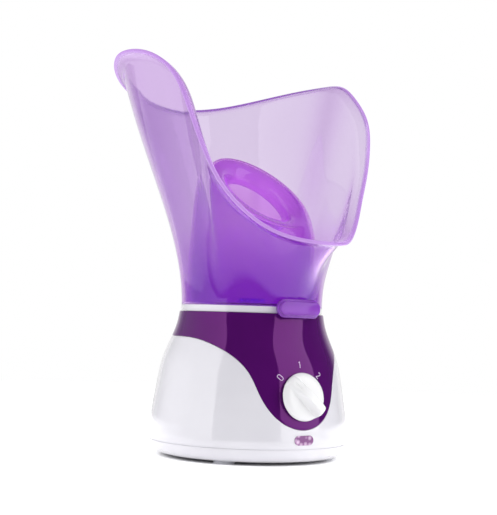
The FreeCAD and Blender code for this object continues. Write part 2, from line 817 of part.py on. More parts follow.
def make_indicator_lamp():
    """Neon tube lying across behind the window, with a lead at each end."""
    body = new_body("indicator_lamp")
    tube = sketch_on(body, "lamp_tube", "YZ_Plane", "-lamp_length / 2")
    add_circle(tube, "-lamp_reach", "lens_level", "lamp_radius")
    sweep_feature(body, "Pad", tube, "lamp_length")
    leads = sketch_on(body, "lamp_leads", "YZ_Plane", "-lamp_length / 2 - lamp_lead")
    add_circle(leads, "-lamp_reach", "lens_level", "lamp_lead_radius")
    sweep_feature(body, "Pad", leads, "lamp_length + 2 * lamp_lead")
    return body


def make_lamp_holder():
    """Shelf on two legs that carries the lamp behind the window."""
    body = new_body("lamp_holder")
    shelf_foot = "lens_level - lamp_radius - 2 * seat_gap - holder_shelf"
    front = "-lamp_reach - holder_half_width"
    back = "-lamp_reach + holder_half_width"
    shelf = sketch_on(body, "holder_shelf", "XY_Plane", shelf_foot)
    add_outline(shelf, [("-holder_half_length", front), ("holder_half_length", front),
                        ("holder_half_length", back), ("-holder_half_length", back)])
    sweep_feature(body, "Pad", shelf, "holder_shelf")
    leg_foot = "plate_level + plate_floor + seat_gap"
    legs = sketch_on(body, "holder_legs", "XY_Plane", leg_foot)
    leg_front = "-lamp_reach - holder_leg_half"
    leg_back = "-lamp_reach + holder_leg_half"
    for side in ("-", ""):
        inner = side + "holder_leg_across - holder_leg_half"
        outer = side + "holder_leg_across + holder_leg_half"
        add_outline(legs, [(inner, leg_front), (outer, leg_front), (outer, leg_back), (inner, leg_back)])
    sweep_feature(body, "Pad", legs, shelf_foot + " - plate_level - plate_floor - seat_gap")
    return body


# -------------------------------------------------- thin curved mask and cone


def bezier(first, second, third, last, step):
    """Point on a cubic Bezier curve."""
    rest = 1 - step
    return (first * rest ** 3 + second * (3 * rest ** 2 * step)
            + third * (3 * rest * step ** 2) + last * step ** 3)


def smooth_step(low, high, amount):
    part = min(max((amount - low) / (high - low), 0.0), 1.0)
    return part * part * (3 - 2 * part)


def skin_solid(middle, wall):
    """Closed thin solid on both sides of a tube of middle points, given as rings."""
    rows = len(middle)
    columns = len(middle[0])
    inner = []
    outer = []
    for i in range(rows):
        inner_ring = []
        outer_ring = []
        for j in range(columns):
            place = middle[i][j]
            around_ring = middle[i][(j + 1) % columns] - middle[i][j - 1]
            upward = middle[min(i + 1, rows - 1)][j] - middle[max(i - 1, 0)][j]
            normal = around_ring.cross(upward)
            if i == 0:
                normal.z = 0.0
            normal.normalize()
            outer_ring.append(place + normal * (wall / 2))
            inner_ring.append(place - normal * (wall / 2))
        inner.append(inner_ring + inner_ring[:1])
        outer.append(outer_ring + outer_ring[:1])
    faces = []
    edges = []
    for rings in (inner, outer):
        curves = []
        for ring in rings:
            curve = Part.BSplineCurve()
            curve.interpolate(Points=ring[:-1], PeriodicFlag=True,
                              Parameters=[k / columns for k in range(columns + 1)])
            curves.append(Part.Wire(curve.toShape()))
        loft = Part.makeLoft(curves, False, False, False, 3)
        faces.extend(loft.Faces)
        edges.append((curves[0].Edges[0], curves[-1].Edges[0]))
    for end in (0, 1):
        faces.append(Part.makeRuledSurface(edges[0][end], edges[1][end]))
    shell = Part.makeShell(faces)
    shell.sewShape()
    solid = Part.makeSolid(shell)
    if solid.Volume < 0:
        solid.reverse()
    return solid


def add_shape(label, shape):
    """Free-form sub-part that no sketch can describe."""
    feature = doc.addObject("Part::Feature", label)
    feature.Label = label
    feature.Shape = shape
    feature.Placement = Placement()
    SUBPARTS.append(feature)
    return feature


def face_rim(columns):
    """Rim points, evenly spread along the closed rim curve, starting at the chin."""
    right = [Vector(*place) for place in RIM]
    left = [Vector(-place.x, place.y, place.z) for place in reversed(right[1:-1])]
    curve = Part.BSplineCurve()
    curve.interpolate(Points=right + left, PeriodicFlag=True)
    return curve.toShape().discretize(columns + 1)[:-1]


def mask_rings(columns=72, wall_rows=17, lip_rows=5):
    """Middle surface of the face mask: neck, funnel wall and the lip flared round its rim."""
    rim = face_rim(columns)
    neck_radius = value("mask_mid_radius")
    foot = value("mask_foot_level")
    lip = value("mask_lip")
    bend = math.radians(value("mask_lip_bend"))
    up = Vector(0, 0, 1)
    stacks = []
    for j in range(columns):
        edge = rim[j]
        tangent = rim[(j + 1) % columns] - rim[j - 1]
        tangent.normalize()
        heading = math.atan2(edge.x, -edge.y)
        radial = Vector(math.sin(heading), -math.cos(heading), 0)
        slope = math.radians(45 + 22 * smooth_step(138, 180, edge.z))
        climb = radial * math.cos(slope) + up * math.sin(slope)
        normal = tangent.cross(climb)
        normal.normalize()
        rise = normal.cross(tangent)
        wall_top = edge - rise * (lip * math.sin(bend) / bend)
        wall_top = wall_top - normal * (lip * (1 - math.cos(bend)) / bend)
        heading = math.atan2(wall_top.x, -wall_top.y)
        neck = Vector(math.sin(heading), -math.cos(heading), 0) * neck_radius
        neck.z = foot
        height = wall_top.z - foot
        lean = smooth_step(20, 90, height)
        stand = height * (0.55 - 0.29 * lean)
        steep = math.radians(45 + 29 * smooth_step(138, 180, edge.z))
        below = wall_top - (radial * math.cos(steep) + up * math.sin(steep)) * (height * 0.4)
        stack = [bezier(neck, neck + up * stand, below, wall_top, k / wall_rows)
                 for k in range(wall_rows + 1)]
        for k in range(1, lip_rows + 1):
            turn = bend * k / lip_rows
            run = lip * math.sin(turn) / bend
            stack.append(wall_top + rise * run + normal * (lip * (1 - math.cos(turn)) / bend))
        stacks.append(stack)
    return [[stack[i] for stack in stacks] for i in range(wall_rows + lip_rows + 1)]


def mask_tab():
    """Pill-shaped press tab on the front of the mask's foot, curved with it."""
    level = value("tab_level")
    inner = value("tab_inner")
    outer = value("tab_outer")
    half_width = value("tab_half_width")
    half_height = value("tab_half_height")
    straight = half_width - half_height
    normal = Vector(0, 1, 0)
    front = -outer - 5

    def pill(radius):
        rise = Vector(0, 0, radius)
        right = Vector(straight, front, level)
        left = Vector(-straight, front, level)
        side = Vector(radius, 0, 0)
        edges = [Part.LineSegment(left + rise, right + rise).toShape(),
                 Part.Arc(right + rise, right + side, right - rise).toShape(),
                 Part.LineSegment(right - rise, left - rise).toShape(),
                 Part.Arc(left - rise, left - side, left + rise).toShape()]
        return Part.Face(Part.Wire(edges)).extrude(normal * (outer + 5))

    def ring(small, large, low, high):
        tube = Part.makeCylinder(large, high - low, Vector(0, 0, low))
        return tube.cut(Part.makeCylinder(small, high - low, Vector(0, 0, low)))

    low = level - half_height - 1
    high = level + half_height + 1
    back = pill(half_height).common(ring(inner, outer - value("tab_face_step"), low, high))
    face = pill(half_height - value("tab_face_inset")).common(ring(inner, outer, low, high))
    foot = value("mask_foot_level") + 0.2
    link = pill(half_height - 0.6).common(ring(value("mask_mid_radius"), inner + 1, foot, high))
    return back.fuse(face).fuse(link)


def turned_on_collar(shape):
    """Free-form shape turned about the upright axis to how it sits on the round collar."""
    shape.rotate(Vector(0, 0, 0), Vector(0, 0, 1), value("mask_turn"))
    return shape


def make_face_mask():
    skin = skin_solid(mask_rings(), value("mask_wall"))
    return add_shape("face_mask", turned_on_collar(skin.fuse(mask_tab())))


def cone_rings(columns=64, wall_rows=14, roll_rows=9):
    """Middle surface of the nasal cone: upright body, slanting mouth rolled inwards."""
    foot = value("cone_foot_level")
    radius = value("cone_mid_radius")
    half_width = value("cone_mouth_half_width")
    run = value("cone_mouth_half_run")
    rise = value("cone_mouth_half_rise")
    slope = math.hypot(run, rise)
    up_slope = Vector(0, run / slope, rise / slope)
    out_of_mouth = Vector(0, -rise / slope, run / slope)
    sideways = Vector(1, 0, 0)
    centre = Vector(0, value("cone_mouth_centre"), value("cone_mouth_level"))
    hole_centre = centre - out_of_mouth * value("cone_hole_depth")
    up = Vector(0, 0, 1)
    stacks = []
    for j in range(columns):
        turn = 2 * math.pi * j / columns
        across = math.sin(turn)
        along = -math.cos(turn)
        base = Vector(across, along, 0) * radius
        base.z = foot
        crest = centre + sideways * (half_width * across) + up_slope * (slope * along)
        outward = sideways * across + up_slope * along
        outward.normalize()
        hole = hole_centre + sideways * (value("cone_hole_half_width") * across)
        hole = hole + up_slope * (value("cone_hole_half_slope") * along)
        height = crest.z - foot
        shoulder = 6.0 + 3.0 * smooth_step(-1, 1, along)
        stack = [bezier(base, base + up * (height * 0.62), crest + outward * shoulder, crest,
                        k / wall_rows) for k in range(wall_rows + 1)]
        roll = (crest - hole).Length * 0.45
        for k in range(1, roll_rows + 1):
            stack.append(bezier(crest, crest - outward * roll, hole + out_of_mouth * roll, hole,
                                k / roll_rows))
        stacks.append(stack)
    return [[stack[i] for stack in stacks] for i in range(wall_rows + roll_rows + 1)]


def make_nasal_cone():
    return add_shape("nasal_cone", turned_on_collar(skin_solid(cone_rings(), value("cone_wall"))))


# ------------------------------------------------------------- cord and wires


def pipe(edges, radius):
    """Round flexible pipe along edges that run on smoothly into each other."""
    start = edges[0].valueAt(edges[0].FirstParameter)
    heading = edges[0].tangentAt(edges[0].FirstParameter)
    section = Part.Wire(Part.makeCircle(radius, start, heading))
    return Part.Wire(edges).makePipeShell([section], True, False)


def flow(start, start_heading, end, end_heading, pull):
    """Smooth edge from one place and heading to another."""
    curve = Part.BezierCurve()
    curve.setPoles([start, start + start_heading * pull, end - end_heading * pull, end])
    return curve.toShape()


def make_strain_relief():
    """Rubber sleeve through the housing's back wall, round the cord."""
    wall_inside = "skin_belly - wall - 0.15"
    wall_outside = "skin_belly + 0.1"
    bore = "cord_radius + cord_slack"
    body = turned("strain_relief", [
        (bore, wall_inside + " - 2"), ("relief_collar", wall_inside + " - 2"),
        ("relief_collar", wall_inside + " - 0.3"), ("relief_neck", wall_inside + " - 0.3"),
        ("relief_neck", wall_outside), ("relief_collar", wall_outside),
        ("relief_collar", wall_outside + " + 1.8"), ("relief_neck", wall_outside + " + 1.8"),
        ("relief_tail", wall_outside + " + relief_tail_length"),
        (bore, wall_outside + " + relief_tail_length"),
    ])
    body.Placement = Placement(Vector(0, 0, value("cord_exit_level")),
                               Rotation(Vector(1, 0, 0), -90))
    body.setExpression("Placement.Base.z", bound("cord_exit_level"))
    return body


def behind(aside, depth, level):
    """Place behind the base: across and away, along the line left of the knob."""
    turn = math.radians(value("cord_heading"))
    return Vector(aside * math.cos(turn) + depth * math.sin(turn),
                  -aside * math.sin(turn) + depth * math.cos(turn), level)


def plug_start():
    """Where the cord meets the plug's back."""
    depth = value("fold_depth") + 2 * value("fold_pitch")
    return behind(value("plug_aside"), depth, 0)


def make_power_cord():
    """Cord from the terminal block out through the back wall and in folds on the floor."""
    radius = value("cord_radius")
    exit_level = value("cord_exit_level")
    floor = radius + 0.1
    inside = value("block_back") + value("block_width") + 1.0
    half = value("fold_half_width")
    pitch = value("fold_pitch")
    depth = value("fold_depth")
    backward = Vector(0, 1, 0)
    aside = behind(1, 0, 0)
    block = Vector(0, inside, value("plate_level") + value("plate_floor") + 6.0)
    wall_in = Vector(0, value("skin_belly") - 8, exit_level)
    wall_out = Vector(0, value("skin_belly") + value("relief_tail_length") + 2, exit_level)
    place = behind(-half, depth, floor)
    edges = [flow(block, backward, wall_in, backward, 8),
             Part.LineSegment(wall_in, wall_out).toShape(),
             flow(wall_out, backward, place, aside, 26)]
    for side in (1, -1):
        far = place + aside * (2 * half * side)
        after = far + behind(0, pitch, 0)
        middle = (far + after) / 2 + aside * (side * pitch / 2)
        edges.append(Part.LineSegment(place, far).toShape())
        edges.append(Part.Arc(far, middle, after).toShape())
        place = after
    plug_axis = value("plug_height") / 2 + value("plug_lift")
    plug_back = plug_start()
    plug_back.z = plug_axis
    edges.append(flow(place, aside, plug_back - aside * 2, aside, 9))
    edges.append(Part.LineSegment(plug_back - aside * 2, plug_back + aside * 6).toShape())
    return add_shape("power_cord", pipe(edges, radius))


def lay_plug(body):
    """Turn a body made along +X to lie at the cord's end."""
    body.Placement = Placement(plug_start(), Rotation(Vector(0, 0, 1), -value("cord_heading")))


def make_terminal_block():
    """Block on the bottom cover with three wire clamps on top."""
    body = new_body("terminal_block")
    half = "block_length / 2"
    back = "block_back + block_width"
    foot = "plate_level + plate_floor + seat_gap"
    sketch = sketch_on(body, "block_outline", "XY_Plane", foot)
    add_outline(sketch, [("-" + half, "block_back"), (half, "block_back"), (half, back),
                         ("-" + half, back)])
    sweep_feature(body, "Pad", sketch, "block_height")
    clamps = [("block_hole_pitch * %d" % step, "block_back + block_width - block_hole_inset")
              for step in (-1, 0, 1)]
    pillars(body, "block_clamps", clamps, "block_hole_radius",
            foot + " + block_height - block_hole_depth", "block_hole_depth + 1", "Pocket")
    return body


def make_wiring():
    """Insulated wires between the cord's block, the switch, the heater parts and the lamp."""
    clear = 1.2
    pitch = value("switch_blade_pitch")
    across = value("blade_across")
    block_top = value("plate_level + plate_floor + block_height") + clear
    block_face = value("block_back") - clear
    tilt = math.radians(value("knob_tilt"))
    blade_depth = value("switch_front + switch_depth + blade_length") + clear
    blade_up = value("switch_blade_up")
    blade_back = -value("knob_reach") + blade_depth * math.cos(tilt) + blade_up * math.sin(tilt)
    blade_level = value("knob_level") - blade_depth * math.sin(tilt) + blade_up * math.cos(tilt)
    heater_foot = value("pan_floor_level - heater_height") - clear
    heater_edge = 9.5
    can_foot = value("pan_floor_level - thermostat_height - blade_length") - clear
    can_back = value("thermostat_back")
    fuse_front = -value("fuse_front")
    fuse_level = value("pan_floor_level - fuse_radius") - 0.2
    fuse_end = value("fuse_length / 2 + fuse_lead") + clear
    lamp_end = value("lamp_length / 2 + lamp_lead") + clear
    lamp_front = -value("lamp_reach")
    lamp_level = value("lens_level")
    lamp_bends = WIRE_BENDS["lamp"]
    block_level = lamp_bends[-1][2]
    block_side = lamp_bends[-1][0]
    other_bends = [(-x, y, z) for x, y, z in lamp_bends]
    runs = [
        [(-pitch, blade_back, blade_level)] + WIRE_BENDS["feed"] + [(-6, 27, block_top)],
        [(pitch, blade_back, blade_level)] + WIRE_BENDS["switch_to_heater"]
        + [(10, -heater_edge, heater_foot)],
        [(0, blade_back, blade_level)] + WIRE_BENDS["switch_to_fuse"]
        + [(-fuse_end, fuse_front, fuse_level)],
        [(across, can_back, can_foot)] + WIRE_BENDS["return"] + [(6, 28, block_top)],
        [(-across, can_back, can_foot)] + WIRE_BENDS["thermostat_to_heater"]
        + [(-10, heater_edge, heater_foot)],
        [(lamp_end, lamp_front, lamp_level)] + lamp_bends + [(block_side, block_face, block_level)],
        [(-lamp_end, lamp_front, lamp_level)] + other_bends + [(-block_side, block_face, block_level)],
    ]
    pipes = []
    for run in runs:
        path = spline([Vector(*place) for place in run])
        pipes.append(pipe([path.toShape()], value("wire_radius")))
    return add_shape("wiring", Part.makeCompound(pipes))


def make_plug_body():
    """Flat two-pin plug lying on the floor at the cord's end."""
    body = new_body("plug_body")
    half = "plug_width / 2"
    sketch = sketch_on(body, "plug_outline", "XY_Plane", "plug_lift")
    add_outline(sketch, [
        ("0", "-plug_neck_half"), ("plug_waist_along", "-plug_waist_half"),
        ("plug_shoulder_along", "-" + half), ("plug_length", "-" + half), ("plug_length", half),
        ("plug_shoulder_along", half), ("plug_waist_along", "plug_waist_half"),
        ("0", "plug_neck_half"),
    ])
    sweep_feature(body, "Pad", sketch, "plug_height")
    foot = value("plug_lift")
    top = foot + value("plug_height")
    round_edges(body, "plug_round", lambda edge: edge.BoundBox.ZMin > top - 1e-3
                or edge.BoundBox.ZMax < foot + 1e-3)
    cord_hole = sketch_on(body, "plug_cord_hole", "YZ_Plane")
    add_circle(cord_hole, "0", "plug_height / 2 + plug_lift", "cord_radius + cord_slack")
    sweep_feature(body, "Pocket", cord_hole, "plug_cord_depth", backward=True)
    pin_holes = sketch_on(body, "plug_pin_holes", "YZ_Plane", "plug_length")
    for side in ("-", ""):
        add_circle(pin_holes, side + "pin_spacing / 2", "plug_height / 2 + plug_lift", "pin_root_radius + 0.02")
    sweep_feature(body, "Pocket", pin_holes, "pin_seat_depth")
    lay_plug(body)
    return body


def make_plug_pins():
    """Two round pins, a little thinner along the insulated root than along the contact end."""
    body = new_body("plug_pins")
    runs = (
        ("plug_pin_roots", "plug_length - pin_seat_depth + 0.1", "pin_root_radius",
         "pin_root_length + pin_seat_depth - 0.1"),
        ("plug_pin_ends", "plug_length + pin_root_length", "pin_radius",
         "pin_length - pin_root_length"),
    )
    for name, start, radius, length in runs:
        sketch = sketch_on(body, name, "YZ_Plane", start)
        for side in ("-", ""):
            add_circle(sketch, side + "pin_spacing / 2", "plug_height / 2 + plug_lift", radius)
        sweep_feature(body, "Pad", sketch, length)
    tip = value("plug_length") + value("pin_length")
    round_edges(body, "pin_radius - 0.4", lambda edge: edge.BoundBox.XMin > tip - 1e-3)
    lay_plug(body)
    return body


MAKERS = [
    make_housing, make_fascia, make_base_plate, make_feet, make_base_screws, make_top_collar,
    make_water_pan, make_pan_seal, make_pan_screws, make_heater_disc, make_heater_clamp,
    make_clamp_nuts, make_thermostat, make_thermal_fuse, make_steam_cap, make_knob,
    make_switch_spindle, make_rotary_switch, make_switch_nut, make_indicator_lens,
    make_indicator_lamp, make_lamp_holder, make_face_mask, make_nasal_cone, make_strain_relief,
    make_power_cord, make_plug_body, make_plug_pins, make_terminal_block, make_wiring,
]

for make in MAKERS:
    make()

doc.recompute()
for item in doc.Objects:
    if "Invalid" in item.State or "Error" in item.State:
        raise RuntimeError("%s did not build: %s" % (item.Name, item.State))
os.makedirs("parts", exist_ok=True)
for subpart in SUBPARTS:
    if subpart.Shape.isNull() or not subpart.Shape.isValid():
        raise RuntimeError(subpart.Label + " has no valid shape")
    subpart.Shape.exportStep("parts/%s.step" % subpart.Label)
    print("%-16s %d solids, %.1f mm3" % (subpart.Label, len(subpart.Shape.Solids), subpart.Shape.Volume))
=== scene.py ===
import json
import math

import bmesh
import bpy
import numpy as np
from mathutils import Matrix, Vector
from mathutils.bvhtree import BVHTree


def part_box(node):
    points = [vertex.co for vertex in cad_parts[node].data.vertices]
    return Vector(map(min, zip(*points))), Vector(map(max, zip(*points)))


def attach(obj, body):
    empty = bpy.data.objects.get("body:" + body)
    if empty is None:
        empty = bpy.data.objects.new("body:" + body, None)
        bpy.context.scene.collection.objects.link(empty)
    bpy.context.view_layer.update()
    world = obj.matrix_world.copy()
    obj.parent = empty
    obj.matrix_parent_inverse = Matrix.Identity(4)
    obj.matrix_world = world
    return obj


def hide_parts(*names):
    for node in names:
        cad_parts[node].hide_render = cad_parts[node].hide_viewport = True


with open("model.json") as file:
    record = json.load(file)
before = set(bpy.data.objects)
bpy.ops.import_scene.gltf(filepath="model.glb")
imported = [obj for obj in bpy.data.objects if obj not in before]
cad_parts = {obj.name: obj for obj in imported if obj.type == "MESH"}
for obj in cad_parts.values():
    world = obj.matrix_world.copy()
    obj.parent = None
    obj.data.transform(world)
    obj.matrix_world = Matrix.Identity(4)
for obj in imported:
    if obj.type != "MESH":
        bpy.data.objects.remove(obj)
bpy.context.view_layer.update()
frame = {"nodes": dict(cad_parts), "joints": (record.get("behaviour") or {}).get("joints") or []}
MM = 0.001

# The facial steamer stands on the floor, its knob and the chin side of its mask towards -Y.
housing_low, housing_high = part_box("housing")
fascia_low, fascia_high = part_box("fascia")
knob_joint = [joint for joint in frame["joints"] if joint["name"] == "knob_turn"][0]
KNOB_CENTRE = Vector(knob_joint["pos_m"])
KNOB_OUT = -Vector(knob_joint["axis"])


# ------------------------------------------------------------------ mesh code


def new_piece(name, points, faces, material, body, smooth=True):
    """Mesh piece that rides on a CAD body."""
    mesh = bpy.data.meshes.new(name)
    mesh.from_pydata([tuple(point) for point in points], [], faces)
    mesh.validate()
    work = bmesh.new()
    work.from_mesh(mesh)
    bmesh.ops.recalc_face_normals(work, faces=work.faces)
    work.to_mesh(mesh)
    work.free()
    for polygon in mesh.polygons:
        polygon.use_smooth = smooth
    piece = bpy.data.objects.new(name, mesh)
    bpy.context.scene.collection.objects.link(piece)
    mesh.materials.append(material)
    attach(piece, body)
    return piece


def hoop_faces(loops, points):
    """Quads between neighbouring loops of equal length, the last loop joined to the first."""
    faces = []
    for i in range(loops):
        after = (i + 1) % loops
        for j in range(points):
            beside = (j + 1) % points
            faces.append((i * points + j, after * points + j, after * points + beside,
                          i * points + beside))
    return faces


def smooth_curve(stations, count, periodic=False):
    """Cubic spline through stations, spread evenly by length along the chords."""
    stations = np.asarray(stations, float)
    if periodic:
        stations = np.vstack([stations, stations[:1]])
    chords = np.linalg.norm(np.diff(stations, axis=0), axis=1)
    knots = np.concatenate([[0.0], np.cumsum(chords)])
    number = len(knots)
    matrix = np.zeros((number, number))
    right = np.zeros((number, stations.shape[1]))
    for i in range(1, number - 1):
        before, after = chords[i - 1], chords[i]
        matrix[i, i - 1:i + 2] = before, 2 * (before + after), after
        right[i] = 6 * ((stations[i + 1] - stations[i]) / after
                        - (stations[i] - stations[i - 1]) / before)
    if periodic:
        before, after = chords[-1], chords[0]
        matrix[0, 0] = 2 * (before + after)
        matrix[0, 1] = after
        matrix[0, -2] = before
        right[0] = 6 * ((stations[1] - stations[0]) / after
                        - (stations[0] - stations[-2]) / before)
        matrix[-1, 0] = 1
        matrix[-1, -1] = -1
    else:
        matrix[0, 0] = matrix[-1, -1] = 1
    bends = np.linalg.solve(matrix, right)
    where = np.linspace(0, knots[-1], count, endpoint=not periodic)
    spans = np.clip(np.searchsorted(knots, where, side="right") - 1, 0, number - 2)
    width = chords[spans][:, None]
    start = (knots[spans + 1] - where)[:, None]
    end = (where - knots[spans])[:, None]
    curve = (bends[spans] * start ** 3 + bends[spans + 1] * end ** 3) / (6 * width)
    curve += (stations[spans] / width - bends[spans] * width / 6) * start
    curve += (stations[spans + 1] / width - bends[spans + 1] * width / 6) * end
    return curve


def smooth_step(low, high, amount):
    """Eased rise from 0 at low to 1 at high."""
    share = np.clip((amount - low) / (high - low), 0, 1)
    return share * share * (3 - 2 * share)


# --------------------------------------------------------------- base casing

skin_meshes = []
for node in ("housing", "fascia"):
    skin = bmesh.new()
    skin.from_mesh(frame["nodes"][node].data)
    skin_meshes.append(BVHTree.FromBMesh(skin))
    skin.free()


CLEAR_HEADINGS = np.radians([55, 75, 105, 130, 150, 210, 235, 255, 285])
SKIN_PROBES = 15
SKIN_STEPS = 400


def measured_skin(level):
    """Outer radius of the CAD base at one height, the median over headings clear of holes."""
    found = []
    for heading in CLEAR_HEADINGS:
        out = Vector((math.sin(heading), -math.cos(heading), 0))
        start = out * (2 * housing_high.x) + Vector((0, 0, level))
        hits = [tree.ray_cast(start, -out)[0] for tree in skin_meshes]
        radii = [hit.to_2d().length for hit in hits if hit is not None]
        if radii:
            found.append(max(radii))
    return float(np.median(found))


SKIN_FOOT = housing_low.z
SKIN_TOP = fascia_high.z
# Radius of the rounds along the edges of the housing and the fascia.
EDGE_ROUND = 0.4 * MM
levels = np.linspace(SKIN_FOOT + EDGE_ROUND, SKIN_TOP - EDGE_ROUND, SKIN_PROBES)
skin_levels = smooth_curve([(level, measured_skin(level)) for level in levels], SKIN_STEPS)


def skin_radius(level):
    """Outer radius of the base at any height."""
    return np.interp(level, skin_levels[:, 0], skin_levels[:, 1])


WALL = 2.4 * MM
TONGUE_BOTTOM = fascia_low.z
BAND_LEVEL = housing_high.z
PARTING_STEPS = 900
HALVINGS = 30
# Right half of the fascia's tongue: across, and above its lowest point, in millimetres.
TONGUE = [(11.1, 2.4), (20.6, 9.5), (26.6, 19.5), (32.3, 34.5), (40.0, 45.3), (47.6, 52.2),
          (53.0, 55.5), (60.0, 55.5)]
right_half = [(across * MM, TONGUE_BOTTOM + rise * MM) for across, rise in TONGUE]
left_half = [(-across, level) for across, level in reversed(right_half)]
parting = smooth_curve(left_half + [(0, TONGUE_BOTTOM)] + right_half, PARTING_STEPS)
parting_right = parting[PARTING_STEPS // 2:]


def parting_level(heading):
    """Height of the fascia's lower edge at a heading counted from the front."""
    if math.cos(heading) <= 0:
        return BAND_LEVEL
    low, high = TONGUE_BOTTOM - 2 * MM, BAND_LEVEL + 2 * MM
    for _ in range(HALVINGS):
        middle = (low + high) / 2
        across = abs(skin_radius(middle) * math.sin(heading))
        if np.interp(across, parting_right[:, 0], parting_right[:, 1]) > middle:
            low = middle
        else:
            high = middle
    return low


def wall_band(name, low_edge, high_edge, material, columns=720, rows=56):
    """Part of the base's wall between two edges, with small rounds along both edges."""
    points = []
    corner = EDGE_ROUND
    for column in range(columns):
        heading = 2 * math.pi * column / columns
        low = low_edge(heading)
        high = high_edge(heading)
        profile = []
        for turn in np.linspace(-math.pi / 2, 0, 4)[:-1]:
            profile.append((low + corner + corner * math.sin(turn), corner * (1 - math.cos(turn))))
        profile += [(level, 0.0) for level in np.linspace(low + corner, high - corner, rows)]
        for turn in np.linspace(0, math.pi / 2, 4)[1:]:
            profile.append((high - corner + corner * math.sin(turn), corner * (1 - math.cos(turn))))
        profile += [(level, WALL) for level in np.linspace(high, low, 12)]
        for level, inset in profile:
            radius = skin_radius(level) - inset
            points.append((radius * math.sin(heading), -radius * math.cos(heading), level))
    return new_piece(name, points, hoop_faces(columns, len(profile)), material, "base")


# ------------------------------------------------------------------ materials


def node_material(name):
    """New node material with its nodes, links and main shader."""
    material = bpy.data.materials.new(name)
    material.use_nodes = True
    nodes = material.node_tree.nodes
    return material, nodes, material.node_tree.links, nodes["Principled BSDF"]


def noise(nodes, links, scale, detail=4.0):
    """Noise in the object's own space, so grain has a real size."""
    place = nodes.new("ShaderNodeTexCoord")
    texture = nodes.new("ShaderNodeTexNoise")
    texture.inputs["Scale"].default_value = scale
    texture.inputs["Detail"].default_value = detail
    links.new(place.outputs["Object"], texture.inputs["Vector"])
    return texture.outputs["Fac"]


def mapped(nodes, links, source, first, last, low=0.0, high=1.0, eased=False):
    """Map a value between first and last to one between low and high."""
    mapper = nodes.new("ShaderNodeMapRange")
    if eased:
        mapper.interpolation_type = "SMOOTHSTEP"
    mapper.inputs["From Min"].default_value = first
    mapper.inputs["From Max"].default_value = last
    mapper.inputs["To Min"].default_value = low
    mapper.inputs["To Max"].default_value = high
    links.new(source, mapper.inputs["Value"])
    return mapper.outputs["Result"]


def ranged(nodes, links, source, low, high):
    """Spread the middle of a noise over a range of values."""
    return mapped(nodes, links, source, 0.3, 0.7, low, high)


def fill(links, socket, value):
    """Feed a socket from a link or a plain number."""
    if isinstance(value, (int, float)):
        socket.default_value = value
    else:
        links.new(value, socket)


def reckon(nodes, links, operation, *values):
    """Math node on links and plain numbers."""
    node = nodes.new("ShaderNodeMath")
    node.operation = operation
    for socket, value in zip(node.inputs, values):
        fill(links, socket, value)
    return node.outputs["Value"]


def pick(nodes, links, flag, usual, special):
    """The usual value where the flag is 0, the special one where it is 1."""
    choice = nodes.new("ShaderNodeMix")
    links.new(flag, choice.inputs["Factor"])
    fill(links, choice.inputs["A"], usual)
    fill(links, choice.inputs["B"], special)
    return choice.outputs["Result"]


def add_bump(nodes, links, shader, height, strength, distance):
    """Raise the shader's surface by a height link."""
    bump = nodes.new("ShaderNodeBump")
    bump.inputs["Strength"].default_value = strength
    bump.inputs["Distance"].default_value = distance
    links.new(height, bump.inputs["Height"])
    links.new(bump.outputs["Normal"], shader.inputs["Normal"])


def two_tone(nodes, links, source, first, second):
    """Colour that wanders between two close tones."""
    ramp = nodes.new("ShaderNodeValToRGB")
    ramp.color_ramp.elements[0].position = 0.35
    ramp.color_ramp.elements[0].color = (*first, 1)
    ramp.color_ramp.elements[1].position = 0.65
    ramp.color_ramp.elements[1].color = (*second, 1)
    links.new(source, ramp.inputs["Fac"])
    return ramp.outputs["Color"]


def plastic(name, first, second, roughness, grain=1400.0, depth=0.00002, coat=0.0):
    """Moulded plastic: two close tones, uneven sheen and a fine mould grain."""
    material, nodes, links, shader = node_material(name)
    tone = two_tone(nodes, links, noise(nodes, links, 28.0), first, second)
    links.new(tone, shader.inputs["Base Color"])
    sheen = ranged(nodes, links, noise(nodes, links, 60.0), roughness * 0.85, roughness * 1.2)
    links.new(sheen, shader.inputs["Roughness"])
    shader.inputs["IOR"].default_value = 1.5
    shader.inputs["Coat Weight"].default_value = coat
    shader.inputs["Coat Roughness"].default_value = 0.04
    add_bump(nodes, links, shader, noise(nodes, links, grain, 6.0), 0.25, depth)
    return material


def colour_mix(nodes, links, share, first, second):
    """Blend from the first colour link to the second fixed colour; returns the new link."""
    blend = nodes.new("ShaderNodeMix")
    blend.data_type = "RGBA"
    colour_a, colour_b = [socket for socket in blend.inputs if socket.type == "RGBA"]
    colour_b.default_value = (*second, 1)
    links.new(first, colour_a)
    links.new(share, blend.inputs[0])
    return [socket for socket in blend.outputs if socket.type == "RGBA"][0]


# Painted glow: a ray caught inside a clear wall emits light at this depth, which keeps the wall's
# edges bright.
GUIDED_DEPTH = 10
GUIDED_GLOW = 0.8
# Painted glow: the rim of the mask emits a little light, in its bead colour times a gain.
BEAD_GLOW = 0.5
BEAD_GAIN = 2.4
# Painted shade: heights in metres between which the foot darkens to the `low` tint, and the share
# of that tint painted on the -X side.
FOOT_SHADE_START = 0.170
FOOT_SHADE_FULL = 0.105
SIDE_SHADE_FULL = -0.07
SIDE_SHADE_SHARE = 0.36
# Painted shade: share of the darker edge-on tint by how far the wall is turned from the eye, none
# up to the start.
SLANT_SHADE = ((0.50, 0.40), (0.94, 0.10))
SLANT_START = 0.12
SLANT_FULL = 0.84
SLANT_SHARE = 0.8


